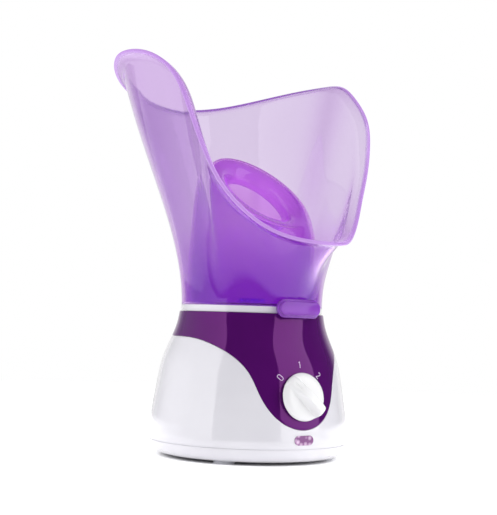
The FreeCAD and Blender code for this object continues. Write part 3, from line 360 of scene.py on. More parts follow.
def clear_plastic(name, tint, low, edge_on_shade, bead, roughness, clearness=1.0):
    """Tinted see-through plastic: `low` near the foot and at -X, and a darker tint seen edge-on,
    both painted shade; `bead` at its edge, with a painted glow.
    """
    material, nodes, links, shader = node_material(name)
    tone = two_tone(nodes, links, noise(nodes, links, 14.0), tint, tuple(c * 0.97 for c in tint))
    place = nodes.new("ShaderNodeTexCoord")
    axes = nodes.new("ShaderNodeSeparateXYZ")
    links.new(place.outputs["Object"], axes.inputs["Vector"])
    # Painted shade: darker towards the foot and on the -X side.
    foot = mapped(nodes, links, axes.outputs["Z"], FOOT_SHADE_START, FOOT_SHADE_FULL, eased=True)
    side = mapped(nodes, links, axes.outputs["X"], 0.0, SIDE_SHADE_FULL, 0.0, SIDE_SHADE_SHARE,
                  eased=True)
    tone = colour_mix(nodes, links, reckon(nodes, links, "MAXIMUM", foot, side), tone, low)
    # Painted shade: darker where the wall is seen edge-on.
    view = nodes.new("ShaderNodeLayerWeight")
    slant = nodes.new("ShaderNodeValToRGB")
    stops = slant.color_ramp.elements
    stops[0].position = SLANT_START
    stops[1].position = SLANT_FULL
    stops[1].color = (SLANT_SHARE, SLANT_SHARE, SLANT_SHARE, 1)
    for position, level in SLANT_SHADE:
        stops.new(position).color = (level, level, level, 1)
    links.new(view.outputs["Facing"], slant.inputs["Fac"])
    tone = colour_mix(nodes, links, slant.outputs["Color"], tone, edge_on_shade)
    attribute = nodes.new("ShaderNodeAttribute")
    attribute.attribute_name = "bead"
    edge = attribute.outputs["Fac"]
    # Painted glow at the rim, in its bead colour times a gain.
    painted_glow_colour = colour_mix(nodes, links, edge, tone, tuple(c * BEAD_GAIN for c in bead))
    links.new(painted_glow_colour, shader.inputs["Emission Color"])
    links.new(colour_mix(nodes, links, edge, tone, bead), shader.inputs["Base Color"])
    sheen = ranged(nodes, links, noise(nodes, links, 40.0), roughness * 0.6, roughness * 1.4)
    links.new(sheen, shader.inputs["Roughness"])
    clear = mapped(nodes, links, edge, 0.0, 1.0, clearness, 0.0)
    links.new(clear, shader.inputs["Transmission Weight"])
    shader.inputs["IOR"].default_value = 1.45
    add_bump(nodes, links, shader, noise(nodes, links, 70.0, 2.0), 0.12, 0.0004)
    # Painted glow from rays deep inside the wall, and at the rim.
    rays = nodes.new("ShaderNodeLightPath")
    guided = reckon(nodes, links, "COMPARE", rays.outputs["Ray Depth"], GUIDED_DEPTH, 0.5)
    glow = reckon(nodes, links, "MULTIPLY", guided, GUIDED_GLOW)
    painted_glow_strength = reckon(nodes, links, "MULTIPLY_ADD", edge, BEAD_GLOW, glow)
    links.new(painted_glow_strength, shader.inputs["Emission Strength"])
    shader.inputs["Coat Weight"].default_value = 0.15
    shader.inputs["Coat Roughness"].default_value = roughness
    return material


def metal(name, colour, roughness):
    """Bare metal with an uneven sheen and a fine grain."""
    material, nodes, links, shader = node_material(name)
    worn = tuple(c * 0.85 for c in colour)
    tone = two_tone(nodes, links, noise(nodes, links, 90.0), colour, worn)
    links.new(tone, shader.inputs["Base Color"])
    sheen = ranged(nodes, links, noise(nodes, links, 300.0), roughness * 0.7, roughness * 1.3)
    links.new(sheen, shader.inputs["Roughness"])
    shader.inputs["Metallic"].default_value = 1.0
    add_bump(nodes, links, shader, noise(nodes, links, 900.0), 0.2, 0.00003)
    return material


WHITE = plastic("white_gloss", (0.72, 0.71, 0.76), (0.75, 0.74, 0.79), 0.10, coat=1.0)
WHITE.node_tree.nodes["Principled BSDF"].inputs["IOR"].default_value = 1.65
KNOB_WHITE = plastic("knob_white", (0.80, 0.80, 0.81), (0.83, 0.83, 0.84), 0.18, coat=0.6)
DARK = plastic("fascia_purple", (0.060, 0.0025, 0.098), (0.068, 0.003, 0.108), 0.05,
               depth=0.000004)
DARK_SHADER = DARK.node_tree.nodes["Principled BSDF"]
DARK_SHADER.inputs["IOR"].default_value = 1.8
DARK_SHADER.inputs["Specular Tint"].default_value = (0.95, 0.28, 1.0, 1)
LILAC_BEAD = (0.25, 0.135, 0.35)
PURPLE_BEAD = (0.22, 0.08, 0.32)
# Clear plastics: tint, then darker painted-shade tints towards the foot and seen edge-on, then the
# rim's bead colour.
LILAC = clear_plastic("mask_lilac", (0.74, 0.62, 0.84), (0.54, 0.26, 0.73), (0.50, 0.21, 0.72),
                      LILAC_BEAD, 0.05)
PURPLE = clear_plastic("cone_purple", (0.83, 0.46, 0.96), (0.76, 0.34, 0.90),
                       (0.58, 0.14, 0.80), PURPLE_BEAD, 0.08)
TAB_LILAC = clear_plastic("tab_lilac", (0.40, 0.10, 0.72), (0.38, 0.09, 0.70),
                          (0.32, 0.07, 0.62), LILAC_BEAD, 0.12, clearness=0.45)
CAP_PURPLE = clear_plastic("cap_purple", (0.62, 0.24, 0.86), (0.62, 0.24, 0.86),
                           (0.45, 0.12, 0.75), PURPLE_BEAD, 0.12)
MARKS = plastic("dial_marks", (0.66, 0.52, 0.74), (0.70, 0.56, 0.78), 0.5)
RUBBER = plastic("foot_rubber", (0.55, 0.55, 0.60), (0.62, 0.62, 0.66), 0.55, depth=0.00005)
SILICONE = plastic("silicone", (0.78, 0.78, 0.75), (0.83, 0.83, 0.80), 0.45)
ALUMINIUM = metal("drawn_aluminium", (0.80, 0.81, 0.82), 0.32)
STEEL = metal("zinc_steel", (0.62, 0.62, 0.64), 0.28)
NICKEL = metal("nickel", (0.74, 0.70, 0.60), 0.18)
CERAMIC = plastic("ceramic", (0.80, 0.77, 0.68), (0.85, 0.82, 0.74), 0.6)
BLACK = plastic("switch_black", (0.02, 0.02, 0.022), (0.03, 0.03, 0.032), 0.4)
CORD = plastic("cord_white", (0.78, 0.78, 0.80), (0.82, 0.82, 0.84), 0.35)
WIRE_RED = plastic("wire_red", (0.45, 0.03, 0.03), (0.52, 0.05, 0.04), 0.4)
CREAM = plastic("block_cream", (0.78, 0.74, 0.62), (0.83, 0.79, 0.68), 0.5)


def lens_material():
    """Tinted window with a pressed pattern of small facets, each painted light in its middle and
    dark at its border as painted highlight and shade.
    """
    material, nodes, links, shader = node_material("lens_tinted")
    place = nodes.new("ShaderNodeTexCoord")
    cells = nodes.new("ShaderNodeTexVoronoi")
    cells.inputs["Scale"].default_value = 330.0
    links.new(place.outputs["Object"], cells.inputs["Vector"])
    # Painted highlight and shade: each facet light in its middle, dark towards its border.
    ramp = nodes.new("ShaderNodeValToRGB")
    ramp.color_ramp.elements[0].position = 0.12
    ramp.color_ramp.elements[0].color = (0.78, 0.55, 0.78, 1)
    ramp.color_ramp.elements[1].position = 0.62
    ramp.color_ramp.elements[1].color = (0.20, 0.05, 0.21, 1)
    links.new(cells.outputs["Distance"], ramp.inputs["Fac"])
    links.new(ramp.outputs["Color"], shader.inputs["Base Color"])
    shader.inputs["Roughness"].default_value = 0.08
    shader.inputs["Coat Weight"].default_value = 0.6
    add_bump(nodes, links, shader, cells.outputs["Distance"], 0.8, 0.0006)
    return material


LENS = lens_material()

FINISH = {
    "base_plate": WHITE, "feet": RUBBER, "base_screws": STEEL, "top_collar": WHITE,
    "water_pan": ALUMINIUM, "pan_seal": SILICONE, "pan_screws": STEEL, "heater_disc": CERAMIC,
    "heater_clamp": STEEL, "clamp_nuts": STEEL, "thermostat": STEEL, "thermal_fuse": CERAMIC,
    "steam_cap": CAP_PURPLE, "switch_spindle": STEEL, "rotary_switch": BLACK,
    "switch_nut": STEEL, "indicator_lamp": CERAMIC, "lamp_holder": CREAM,
    "strain_relief": CORD, "power_cord": CORD, "plug_body": CORD, "plug_pins": NICKEL,
    "terminal_block": CREAM, "wiring": WIRE_RED, "indicator_lens": LENS,
}
for node, material in FINISH.items():
    piece = frame["nodes"][node]
    piece.data.materials.clear()
    piece.data.materials.append(material)

# Half the gap along the line where housing and fascia meet.
GAP = 0.06 * MM
housing = wall_band("housing_shell", lambda heading: SKIN_FOOT,
                    lambda heading: parting_level(heading) - GAP, WHITE)
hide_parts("housing")
fascia = wall_band("fascia_shell", lambda heading: parting_level(heading) + GAP,
                   lambda heading: SKIN_TOP, DARK)
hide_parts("fascia")


# ------------------------------------------------------- face mask, nasal cone


def bezier(first, second, third, last, step):
    """Point of a cubic curve between first and last."""
    rest = 1 - step
    return (first * rest ** 3 + second * (3 * rest ** 2 * step)
            + third * (3 * rest * step ** 2) + last * step ** 3)


def unit(vectors):
    """Vectors of length one in the same directions."""
    return vectors / np.linalg.norm(vectors, axis=-1, keepdims=True)


# Distances in millimetres from a wall's edge at which the bead colour and its painted glow are
# full, then gone.
BEAD_FULL = 0.5
BEAD_GONE = 2.4
CAP_STEPS = 9


def thin_wall(name, rings, wall, material, body, bead=0.0):
    """Closed thin wall round a tube of middle points, its upper edge rounded."""
    rings = np.asarray(rings)
    round_along = np.roll(rings, -1, axis=1) - np.roll(rings, 1, axis=1)
    upward = np.gradient(rings, axis=0)
    normal = np.cross(round_along, upward)
    normal[0, :, 2] = 0
    normal = unit(normal)
    half = wall / 2
    outer = rings + normal * half
    inner = rings - normal * half
    ahead = unit(np.cross(normal[-1], round_along[-1]))
    ahead *= np.sign((ahead * upward[-1]).sum(-1, keepdims=True))
    cap = []
    for turn in np.linspace(0, math.pi, CAP_STEPS)[1:-1]:
        cap.append(rings[-1] + normal[-1] * (half * math.cos(turn))
                   + ahead * (half * math.sin(turn)))
    loops = np.concatenate([outer, np.array(cap), inner[::-1]], axis=0)
    columns = loops.shape[1]
    points = loops.transpose(1, 0, 2).reshape(-1, 3)
    piece = new_piece(name, points, hoop_faces(columns, loops.shape[0]), material, body)
    from_edge = np.linalg.norm(rings - rings[-1], axis=-1) / MM
    near_edge = bead * (1 - smooth_step(BEAD_FULL, BEAD_GONE, from_edge))
    whole_edge = np.full((len(cap), columns), bead)
    near_edge = np.concatenate([near_edge, whole_edge, near_edge[::-1]], axis=0)
    # Bead share: where the rim takes its bead colour and its painted glow.
    share = piece.data.attributes.new("bead", "FLOAT", "POINT")
    share.data.foreach_set("value", near_edge.T.reshape(-1).astype(np.float32))
    return piece


MASK_TURN = math.radians(4.2)


def turned_on_collar(piece):
    """Turn a piece about the upright axis to how the mask and the cone sit on the collar."""
    piece.data.transform(Matrix.Rotation(MASK_TURN, 4, "Z"))


# Right half of the mask's rim from the chin round to the brow, in millimetres.
RIM = np.array([
    (0.0, -78.5, 138.0), (18.0, -72.6, 139.4), (33.0, -61.5, 145.3), (46.5, -50.5, 157.2),
    (57.0, -42.0, 172.3), (65.5, -36.6, 190.1), (71.7, -31.6, 209.0), (75.8, -24.2, 229.0),
    (77.5, -9.0, 247.0), (82.5, 12.0, 259.0), (85.0, 34.0, 262.0), (77.5, 58.5, 260.5),
    (62.0, 81.0, 255.5), (40.0, 98.0, 249.0), (0.0, 107.0, 244.0),
])
LEFT_RIM = RIM[-2:0:-1] * (-1, 1, 1)
MASK_WALL = 2.3
NECK_FOOT = 98.5
NECK_RADIUS = 45.6
LIP = 9.0
LIP_BEND = math.radians(58)
# The wall leans out more at the chin than where the rim is high.
CHIN_SLOPE = 45
CHIN_LEVEL = 138
CHEEK_LEVEL = 180
LIP_SLOPE_RISE = 22
WALL_SLOPE_RISE = 29
# How far the wall keeps upright over the neck, as a share of its height, and where that drops.
UPRIGHT_SHARE = 0.55
UPRIGHT_DROP = 0.29
UPRIGHT_LOW = 20
UPRIGHT_HIGH = 90
LEAN_SHARE = 0.4


def mask_rings(columns=360, wall_rows=70, lip_rows=16):
    """Middle surface of the mask: neck, funnel wall and the lip flared round its rim."""
    edge = smooth_curve(np.vstack([RIM, LEFT_RIM]), columns, periodic=True)
    tangent = unit(np.roll(edge, -1, axis=0) - np.roll(edge, 1, axis=0))
    heading = np.arctan2(edge[:, 0], -edge[:, 1])
    radial = np.stack([np.sin(heading), -np.cos(heading), 0 * heading], 1)
    up = np.array([0.0, 0.0, 1.0])
    cheek = smooth_step(CHIN_LEVEL, CHEEK_LEVEL, edge[:, 2])
    slope = np.radians(CHIN_SLOPE + LIP_SLOPE_RISE * cheek)[:, None]
    climb = radial * np.cos(slope) + up * np.sin(slope)
    normal = unit(np.cross(tangent, climb))
    rise = np.cross(normal, tangent)
    top = edge - rise * (LIP * math.sin(LIP_BEND) / LIP_BEND)
    top = top - normal * (LIP * (1 - math.cos(LIP_BEND)) / LIP_BEND)
    heading = np.arctan2(top[:, 0], -top[:, 1])
    neck = np.stack([np.sin(heading), -np.cos(heading), 0 * heading], 1) * NECK_RADIUS
    neck[:, 2] = NECK_FOOT
    height = (top[:, 2] - NECK_FOOT)[:, None]
    stand = height * (UPRIGHT_SHARE - UPRIGHT_DROP * smooth_step(UPRIGHT_LOW, UPRIGHT_HIGH, height))
    steep = np.radians(CHIN_SLOPE + WALL_SLOPE_RISE * cheek)[:, None]
    below = top - (radial * np.cos(steep) + up * np.sin(steep)) * (height * LEAN_SHARE)
    rings = [bezier(neck, neck + up * stand, below, top, k / wall_rows)
             for k in range(wall_rows + 1)]
    for k in range(1, lip_rows + 1):
        turn = LIP_BEND * k / lip_rows
        rings.append(top + rise * (LIP * math.sin(turn) / LIP_BEND)
                     + normal * (LIP * (1 - math.cos(turn)) / LIP_BEND))
    return np.array(rings) * MM


CONE_WALL = 2.2
CONE_RADIUS = 42.35
MOUTH_CENTRE = np.array([0.0, -4.5, 174.5])
MOUTH_HALF_WIDTH = 29.5
# Half the run and half the rise of the slanting mouth from its front to its back.
MOUTH_RUN = 32.5
MOUTH_RISE = 24.5
HOLE_HALF_WIDTH = 19.0
HOLE_HALF_SLOPE = 28.0
HOLE_DEPTH = 10.0
SHOULDER_FRONT = 6.0
SHOULDER_RISE = 3.0
BODY_UPRIGHT = 0.62
ROLL_PULL = 0.45


def cone_rings(columns=256, wall_rows=60, roll_rows=28):
    """Middle surface of the nasal cone: upright body, slanting mouth rolled inwards."""
    slope = math.hypot(MOUTH_RUN, MOUTH_RISE)
    up_slope = np.array([0.0, MOUTH_RUN / slope, MOUTH_RISE / slope])
    out_of_mouth = np.array([0.0, -MOUTH_RISE / slope, MOUTH_RUN / slope])
    sideways = np.array([1.0, 0.0, 0.0])
    turn = np.linspace(0, 2 * math.pi, columns, endpoint=False)[:, None]
    across = np.sin(turn)
    along = -np.cos(turn)
    base = np.hstack([across, along, 0 * along]) * CONE_RADIUS
    base[:, 2] = NECK_FOOT
    crest = MOUTH_CENTRE + sideways * (MOUTH_HALF_WIDTH * across) + up_slope * (slope * along)
    outward = unit(sideways * across + up_slope * along)
    hole = MOUTH_CENTRE - out_of_mouth * HOLE_DEPTH
    hole = hole + sideways * (HOLE_HALF_WIDTH * across) + up_slope * (HOLE_HALF_SLOPE * along)
    height = crest[:, 2:] - NECK_FOOT
    shoulder = SHOULDER_FRONT + SHOULDER_RISE * smooth_step(-1, 1, along)
    up = np.array([0.0, 0.0, 1.0])
    rings = [bezier(base, base + up * (height * BODY_UPRIGHT), crest + outward * shoulder,
                    crest, k / wall_rows) for k in range(wall_rows + 1)]
    roll = np.linalg.norm(crest - hole, axis=1, keepdims=True) * ROLL_PULL
    for k in range(1, roll_rows + 1):
        rings.append(bezier(crest, crest - outward * roll, hole + out_of_mouth * roll, hole,
                            k / roll_rows))
    return np.array(rings) * MM


mask = thin_wall("face_mask_shell", mask_rings(), MASK_WALL * MM, LILAC, "face_mask",
                 bead=1.0)
turned_on_collar(mask)
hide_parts("face_mask")
cone = thin_wall("nasal_cone_shell", cone_rings(), CONE_WALL * MM, PURPLE, "nasal_cone")
turned_on_collar(cone)
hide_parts("nasal_cone")


def pill_point(half_length, half_height, step, steps):
    """Point on a level pill outline about its middle."""
    straight = half_length - half_height
    turn = 2 * math.pi * (step + 0.5) / steps
    side = math.copysign(straight, math.sin(turn))
    return side + half_height * math.sin(turn), -half_height * math.cos(turn)


def curved_pill(name, half_length, half_height, level, profile, wrap, turn, material, body,
                steps=96):
    """Pill-shaped button on a curved wall: rings of (inset, radius) from its back to its face."""
    points = []
    for inset, radius in profile:
        for step in range(steps):
            across, up = pill_point(half_length - inset, half_height - inset, step, steps)
            heading = across / wrap + turn
            points.append((radius * math.sin(heading), -radius * math.cos(heading), level + up))
    rings = len(profile)
    faces = [tuple(range(steps)), tuple(range((rings - 1) * steps, rings * steps))]
    for i in range(rings - 1):
        for j in range(steps):
            beside = (j + 1) % steps
            faces.append((i * steps + j, (i + 1) * steps + j, (i + 1) * steps + beside,
                          i * steps + beside))
    return new_piece(name, points, faces, material, body)


def rounded_profile(inset, low, high, corner):
    """Ring profile of a pill with a rounded front edge."""
    rings = []
    for turn in np.linspace(0, math.pi / 2, 6):
        rings.append((inset + corner * (1 - math.cos(turn)),
                      high - corner + corner * math.sin(turn)))
    return [(inset, low)] + rings


TAB_LEVEL = 97.6 * MM
TAB_HALF_LENGTH = 17.6 * MM
TAB_TURN = math.radians(1.0)
TAB_HALF_HEIGHT = 6.0 * MM
TAB_BACK = 48.9 * MM
TAB_SHELF = 52.4 * MM
TAB_FACE = 54.0 * MM
TAB_ROOT = 46.2 * MM
TAB_ROOT_INSET = 1.2 * MM
TAB_FACE_INSET = 1.5 * MM
tab_profile = ([(TAB_ROOT_INSET, TAB_ROOT), (TAB_ROOT_INSET, TAB_BACK - 0.3 * MM)]
               + rounded_profile(0.0, TAB_BACK, TAB_SHELF, 0.9 * MM)
               + rounded_profile(TAB_FACE_INSET, TAB_SHELF, TAB_FACE, 0.7 * MM))
turned_on_collar(curved_pill("mask_tab", TAB_HALF_LENGTH, TAB_HALF_HEIGHT, TAB_LEVEL,
                             tab_profile, TAB_SHELF, TAB_TURN, TAB_LILAC, "face_mask"))


# ------------------------------------------------------------------------ knob

side_axis = Vector((1, 0, 0))
KNOB_FRAME = Matrix.Translation(KNOB_CENTRE) @ Matrix(
    (side_axis, KNOB_OUT.cross(side_axis), KNOB_OUT)).transposed().to_4x4()
# Millimetres in the knob's own frame; the grip's ridge and the pointer run along GRIP_TURN.
KNOB_RADIUS = 15.1
KNOB_LIFT = 0.5
KNOB_RIM = 1.1
KNOB_DOME = 3.9
KNOB_EDGE = 5.0
GRIP_TOP = 9.8
GRIP_TURN = math.radians(90 + 44)
GRIP_HALF_TOP = 2.2
GRIP_HALF_FOOT = 5.0
GRIP_FADE_START = -2.0
GRIP_FADE_END = 13.0
GRIP_FADE = 0.75
GRIP_END_ROUND = 3.2
DOME_SWELL = 0.5
POINTER_START = 6.0
POINTER_END = 12.0
POINTER_RUN = 1.0
POINTER_DEPTH = 0.4
SKIRT_EDGE = 1.0
SOCKET_RADIUS = 8.6
SOCKET_LEVEL = 3.0
HUB_RADIUS = 3.2


def knob_height(across, up):
    """Height of the knob's face: low dome with one grip ridge, proud at its lower end."""
    reach = np.hypot(across, up)
    along = across * math.cos(GRIP_TURN) + up * math.sin(GRIP_TURN)
    aside = np.abs(-across * math.sin(GRIP_TURN) + up * math.cos(GRIP_TURN))
    edge = np.clip((reach - (KNOB_RADIUS - KNOB_EDGE)) / KNOB_EDGE, 0, 1)
    dome = KNOB_RIM + (KNOB_DOME - KNOB_RIM) * np.sqrt(np.clip(1 - edge ** 2, 0, 1))
    dome = dome + DOME_SWELL * (1 - (reach / KNOB_RADIUS) ** 2)
    flank = 1 - smooth_step(GRIP_HALF_TOP, GRIP_HALF_FOOT, aside)
    fade = 1 - GRIP_FADE * smooth_step(GRIP_FADE_START, GRIP_FADE_END, along)
    end = np.clip((reach - (KNOB_RADIUS - GRIP_END_ROUND)) / GRIP_END_ROUND, 0, 1)
    end = 0.5 + 0.5 * np.sqrt(np.clip(1 - end ** 2, 0, 1))
    height = dome + (GRIP_TOP - KNOB_DOME) * flank * fade * end
    pointer = smooth_step(POINTER_START, POINTER_START + POINTER_RUN, along)
    pointer = pointer * (1 - smooth_step(POINTER_END - POINTER_RUN, POINTER_END, along))
    return height - POINTER_DEPTH * pointer * (1 - smooth_step(0.3, 0.7, aside))


def make_knob():
    """Knob cap: its face, a rounded skirt and a socket round its hub underneath."""
    turns = 288
    rings = 110
    points = [(0.0, 0.0, float(knob_height(0.0, 0.0)))]
    for ring in range(1, rings + 1):
        reach = KNOB_RADIUS * math.sin(math.pi / 2 * ring / rings)
        for turn in range(turns):
            angle = 2 * math.pi * turn / turns
            across, up = reach * math.cos(angle), reach * math.sin(angle)
            points.append((across, up, float(knob_height(across, up))))
    faces = [(0, 1 + turn, 1 + (turn + 1) % turns) for turn in range(turns)]
    skirt = [(KNOB_RADIUS, SKIRT_EDGE), (KNOB_RADIUS - 0.25, KNOB_LIFT + 0.1),
             (KNOB_RADIUS - 0.6, KNOB_LIFT), (SOCKET_RADIUS, KNOB_LIFT),
             (SOCKET_RADIUS, SOCKET_LEVEL), (HUB_RADIUS, SOCKET_LEVEL)]
    for radius, level in skirt:
        for turn in range(turns):
            angle = 2 * math.pi * turn / turns
            points.append((radius * math.cos(angle), radius * math.sin(angle), level))
    for ring in range(rings + len(skirt) - 1):
        for turn in range(turns):
            beside = (turn + 1) % turns
            first = 1 + ring * turns
            faces.append((first + turn, first + turns + turn, first + turns + beside,
                          first + beside))
    last = 1 + (rings + len(skirt) - 1) * turns
    faces.append(tuple(range(last, last + turns)))
    placed = [KNOB_FRAME @ (Vector(point) * MM) for point in points]
    knob = new_piece("knob_cap", placed, faces, KNOB_WHITE, "knob")
    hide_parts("knob")


make_knob()


# ---------------------------------------------------------------- dial numbers


def stroke_path(name):
    """Centre line of a number, one unit high, half a unit wide, about its middle."""
    if name == "zero":
        ring = np.linspace(0, 2 * math.pi, 49)
        return [(0.28 * math.copysign(abs(math.sin(a)) ** 0.6, math.sin(a)),
                 0.5 * math.copysign(abs(math.cos(a)) ** 0.6, math.cos(a))) for a in ring]
    if name == "one":
        return [(-0.16, 0.30), (0.04, 0.5), (0.04, -0.5)]
    bow = [(0.25 * math.sin(a), 0.25 + 0.25 * math.cos(a)) for a in np.linspace(-1.35, 1.9, 15)]
    return bow + [(-0.25, -0.5), (0.27, -0.5)]


def on_skin(across, level, lift):
    """Point a little off the base's skin, straight behind a point of the front view."""
    radius = skin_radius(level) + lift
    heading = math.asin(across / radius)
    return (radius * math.sin(heading), -radius * math.cos(heading), level)


NUMBER_HEIGHT = 4.0
STROKE_HALF = 0.22
PRINT_LIFT = 0.05
PRINT_DEPTH = -0.03


def dial_number(name, turn, ring):
    """Printed number on the fascia, its top pointing away from the knob."""
    corners = np.array(stroke_path(name)) * NUMBER_HEIGHT + (0, ring)
    runs = [np.linspace(first, last, 8, endpoint=False)
            for first, last in zip(corners, corners[1:])]
    path = np.vstack(runs + [corners[-1:]])
    along = np.gradient(path, axis=0)
    along /= np.linalg.norm(along, axis=1, keepdims=True)
    aside = np.stack([-along[:, 1], along[:, 0]], 1) * STROKE_HALF
    cosine, sine = math.cos(turn), math.sin(turn)
    points = []
    for place, offset in zip(path, aside):
        for sign, lift in ((1, PRINT_DEPTH), (1, PRINT_LIFT), (-1, PRINT_LIFT),
                           (-1, PRINT_DEPTH)):
            x, y = place + offset * sign
            across = (x * cosine + y * sine) * MM
            level = KNOB_CENTRE.z + (y * cosine - x * sine) * MM * KNOB_OUT.xy.length
            points.append(on_skin(across, level, lift * MM))
    count = len(path)
    faces = [(0, 1, 2, 3), (4 * count - 1, 4 * count - 2, 4 * count - 3, 4 * count - 4)]
    for i in range(count - 1):
        for j in range(4):
            beside = (j + 1) % 4
            faces.append((4 * i + j, 4 * i + 4 + j, 4 * i + 4 + beside, 4 * i + beside))
    new_piece("dial_" + name, points, faces, MARKS, "base", smooth=False)


for number, turn, ring in (("zero", -49.5, 18.7), ("one", 0, 20.2), ("two", 47.5, 20.0)):
    dial_number(number, math.radians(turn), ring)


# --------------------------------------------------------- floor, light, camera


VIEW_AZIMUTH = math.radians(-32.3)
AWAY = (-math.sin(VIEW_AZIMUTH), math.cos(VIEW_AZIMUTH), 0)
FLOOR_HALF = 4.0
# Painted shadow: the floor's glow fades out towards the object between these radii, a soft contact
# shadow added to the lamps' real one.
PAINTED_SHADOW_INNER = 0.052
PAINTED_SHADOW_OUTER = 0.071
# What reflections see of the floor before and behind the object, and where the two meet.
FLOOR_FRONT = 0.12
FLOOR_BACK = 0.72
FLOOR_FRONT_END = -0.28
FLOOR_BACK_START = 0.08
FLOOR_LIGHT = 0.32
# Further out than this the floor is plain white, with no shading of its own.
PLAIN_INNER = 0.35
PLAIN_OUTER = 0.9


def along_view(nodes, links, place):
    """How far a place or direction lies along the camera's heading."""
    along = nodes.new("ShaderNodeVectorMath")
    along.operation = "DOT_PRODUCT"
    along.inputs[1].default_value = AWAY
    links.new(place, along.inputs[0])
    return along.outputs["Value"]


def stage_floor():
    """Plain white floor with a painted soft shadow near the object, where its glow fades out, and
    even white further out.
    """
    mesh = bpy.data.meshes.new("floor")
    corners = [(-FLOOR_HALF, -FLOOR_HALF, 0), (FLOOR_HALF, -FLOOR_HALF, 0),
               (FLOOR_HALF, FLOOR_HALF, 0), (-FLOOR_HALF, FLOOR_HALF, 0)]
    mesh.from_pydata(corners, [], [(0, 1, 2, 3)])
    floor = bpy.data.objects.new("floor", mesh)
    bpy.context.scene.collection.objects.link(floor)
    material, nodes, links, shader = node_material("floor_white")
    shader.inputs["Base Color"].default_value = (0.86, 0.86, 0.87, 1)
    shader.inputs["Roughness"].default_value = 0.8
    shader.inputs["Specular IOR Level"].default_value = 0.1
    shader.inputs["Emission Color"].default_value = (1, 1, 1, 1)
    place = nodes.new("ShaderNodeNewGeometry").outputs["Position"]
    reach = nodes.new("ShaderNodeVectorMath")
    reach.operation = "LENGTH"
    links.new(place, reach.inputs[0])
    reach = reach.outputs["Value"]
    # Painted shadow: no floor glow close to the object, full glow further out.
    glow = mapped(nodes, links, reach, PAINTED_SHADOW_INNER, PAINTED_SHADOW_OUTER, eased=True)
    mirrored = mapped(nodes, links, along_view(nodes, links, place), FLOOR_FRONT_END,
                      FLOOR_BACK_START, FLOOR_FRONT, FLOOR_BACK, eased=True)
    rays = nodes.new("ShaderNodeLightPath").outputs
    straight = reckon(nodes, links, "MAXIMUM", rays["Is Camera Ray"], rays["Is Transmission Ray"])
    seen = pick(nodes, links, straight, mirrored, 1.0)
    share = pick(nodes, links, rays["Is Diffuse Ray"], seen, FLOOR_LIGHT)
    strength = reckon(nodes, links, "MULTIPLY", glow, share)
    links.new(strength, shader.inputs["Emission Strength"])
    far = nodes.new("ShaderNodeEmission")
    far.inputs["Color"].default_value = (1, 1, 1, 1)
    links.new(share, far.inputs["Strength"])
    mixed = nodes.new("ShaderNodeMixShader")
    plain = mapped(nodes, links, reach, PLAIN_INNER, PLAIN_OUTER, eased=True)
    links.new(plain, mixed.inputs["Fac"])
    links.new(shader.outputs["BSDF"], mixed.inputs[1])
    links.new(far.outputs["Emission"], mixed.inputs[2])
    links.new(mixed.outputs["Shader"], nodes["Material Output"].inputs["Surface"])
    mesh.materials.append(material)


# Brightness by kind of ray; the edges are shares of the camera's heading in a ray's direction.
MIRRORED_ROOM = 0.08
MIRRORED_BACKDROP = 0.82
BACKDROP_EDGE = 0.65
BACKDROP_FULL = 0.93
THROUGH_FRONT = 0.9
THROUGH_EDGE = -0.5
THROUGH_FULL = 0.4
ROOM_LIGHT = 0.46


def studio_world():
    """White surroundings; reflections see a dark room with a bright backdrop behind the object."""
    world = bpy.data.worlds.new("studio")
    bpy.context.scene.world = world
    world.use_nodes = True
    nodes = world.node_tree.nodes
    links = world.node_tree.links
    background = nodes["Background"]
    rays = nodes.new("ShaderNodeLightPath").outputs
    place = nodes.new("ShaderNodeTexCoord")
    ahead = along_view(nodes, links, place.outputs["Generated"])
    mirrored = mapped(nodes, links, ahead, BACKDROP_EDGE, BACKDROP_FULL, MIRRORED_ROOM,
                      MIRRORED_BACKDROP, eased=True)
    through = mapped(nodes, links, ahead, THROUGH_EDGE, THROUGH_FULL, THROUGH_FRONT, eased=True)
    sharp = pick(nodes, links, rays["Is Transmission Ray"], mirrored, through)
    soft = pick(nodes, links, rays["Is Diffuse Ray"], sharp, ROOM_LIGHT)
    strength = pick(nodes, links, rays["Is Camera Ray"], soft, 1.0)
    links.new(strength, background.inputs["Strength"])
    background.inputs["Color"].default_value = (1, 1, 1, 1)


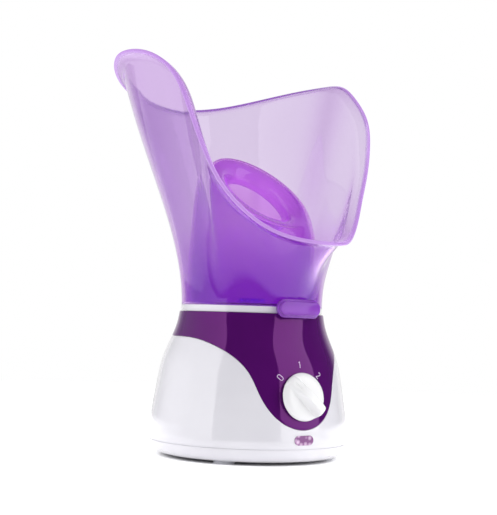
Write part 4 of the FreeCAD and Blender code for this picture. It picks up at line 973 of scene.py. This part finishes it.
def softbox(name, turn, distance, width, height, level, power, mirrored=True, fade=1.0):
    """Soft panel at a heading from the camera's side, its one end dimmed to the fade."""
    data = bpy.data.lights.new(name, "AREA")
    data.use_nodes = True
    nodes = data.node_tree.nodes
    links = data.node_tree.links
    panel = nodes.new("ShaderNodeNewGeometry")
    split = nodes.new("ShaderNodeSeparateXYZ")
    links.new(panel.outputs["Parametric"], split.inputs["Vector"])
    slope = mapped(nodes, links, split.outputs["X"], 0.0, 1.0, fade)
    links.new(slope, nodes["Emission"].inputs["Strength"])
    data.shape = "RECTANGLE"
    data.size = width
    data.size_y = height
    data.energy = power
    lamp = bpy.data.objects.new(name, data)
    heading = VIEW_AZIMUTH + math.radians(turn)
    place = Vector((math.sin(heading), -math.cos(heading), 0)) * distance
    place.z = level
    lamp.location = place
    aim = Vector((0, 0, level)) - place
    lamp.rotation_euler = aim.to_track_quat("-Z", "Y").to_euler()
    lamp.visible_camera = False
    lamp.visible_transmission = False
    lamp.visible_glossy = mirrored
    bpy.context.scene.collection.objects.link(lamp)


CAMERA_DISTANCE = 0.8
CAMERA_LEVEL = 0.088
CAMERA_LENS = 83.8
CAMERA_PITCH = 0.054
CAMERA_YAW = -0.004
CAMERA_ROLL = 0.033


def main_camera():
    """Camera left of the knob, near the height of the collar, leaning a little."""
    data = bpy.data.cameras.new("camera")
    data.sensor_width = 36.0
    data.lens = CAMERA_LENS
    camera = bpy.data.objects.new("camera", data)
    camera.location = (CAMERA_DISTANCE * math.sin(VIEW_AZIMUTH),
                       -CAMERA_DISTANCE * math.cos(VIEW_AZIMUTH), CAMERA_LEVEL)
    look = (Matrix.Rotation(VIEW_AZIMUTH - CAMERA_YAW, 4, "Z")
            @ Matrix.Rotation(math.pi / 2 + CAMERA_PITCH, 4, "X")
            @ Matrix.Rotation(CAMERA_ROLL, 4, "Z"))
    camera.rotation_euler = look.to_euler()
    bpy.context.scene.collection.objects.link(camera)
    bpy.context.scene.camera = camera


stage_floor()
studio_world()
softbox("left_softbox", -90, 0.95, 2.3, 1.9, 0.75, 17, fade=0.1)
softbox("right_softbox", 62.5, 1.1, 1.05, 1.9, 0.75, 8)
softbox("rim_softbox", 132, 1.1, 0.7, 1.9, 0.75, 5, mirrored=False)
softbox("left_fill", -85, 1.0, 0.8, 1.4, 0.6, 5, mirrored=False)
softbox("right_fill", 78, 1.0, 0.8, 1.4, 0.6, 5, mirrored=False)
main_camera()
scene = bpy.context.scene
scene.view_settings.view_transform = "Standard"
scene.cycles.max_bounces = 32
scene.cycles.transmission_bounces = 32
scene.cycles.glossy_bounces = 16
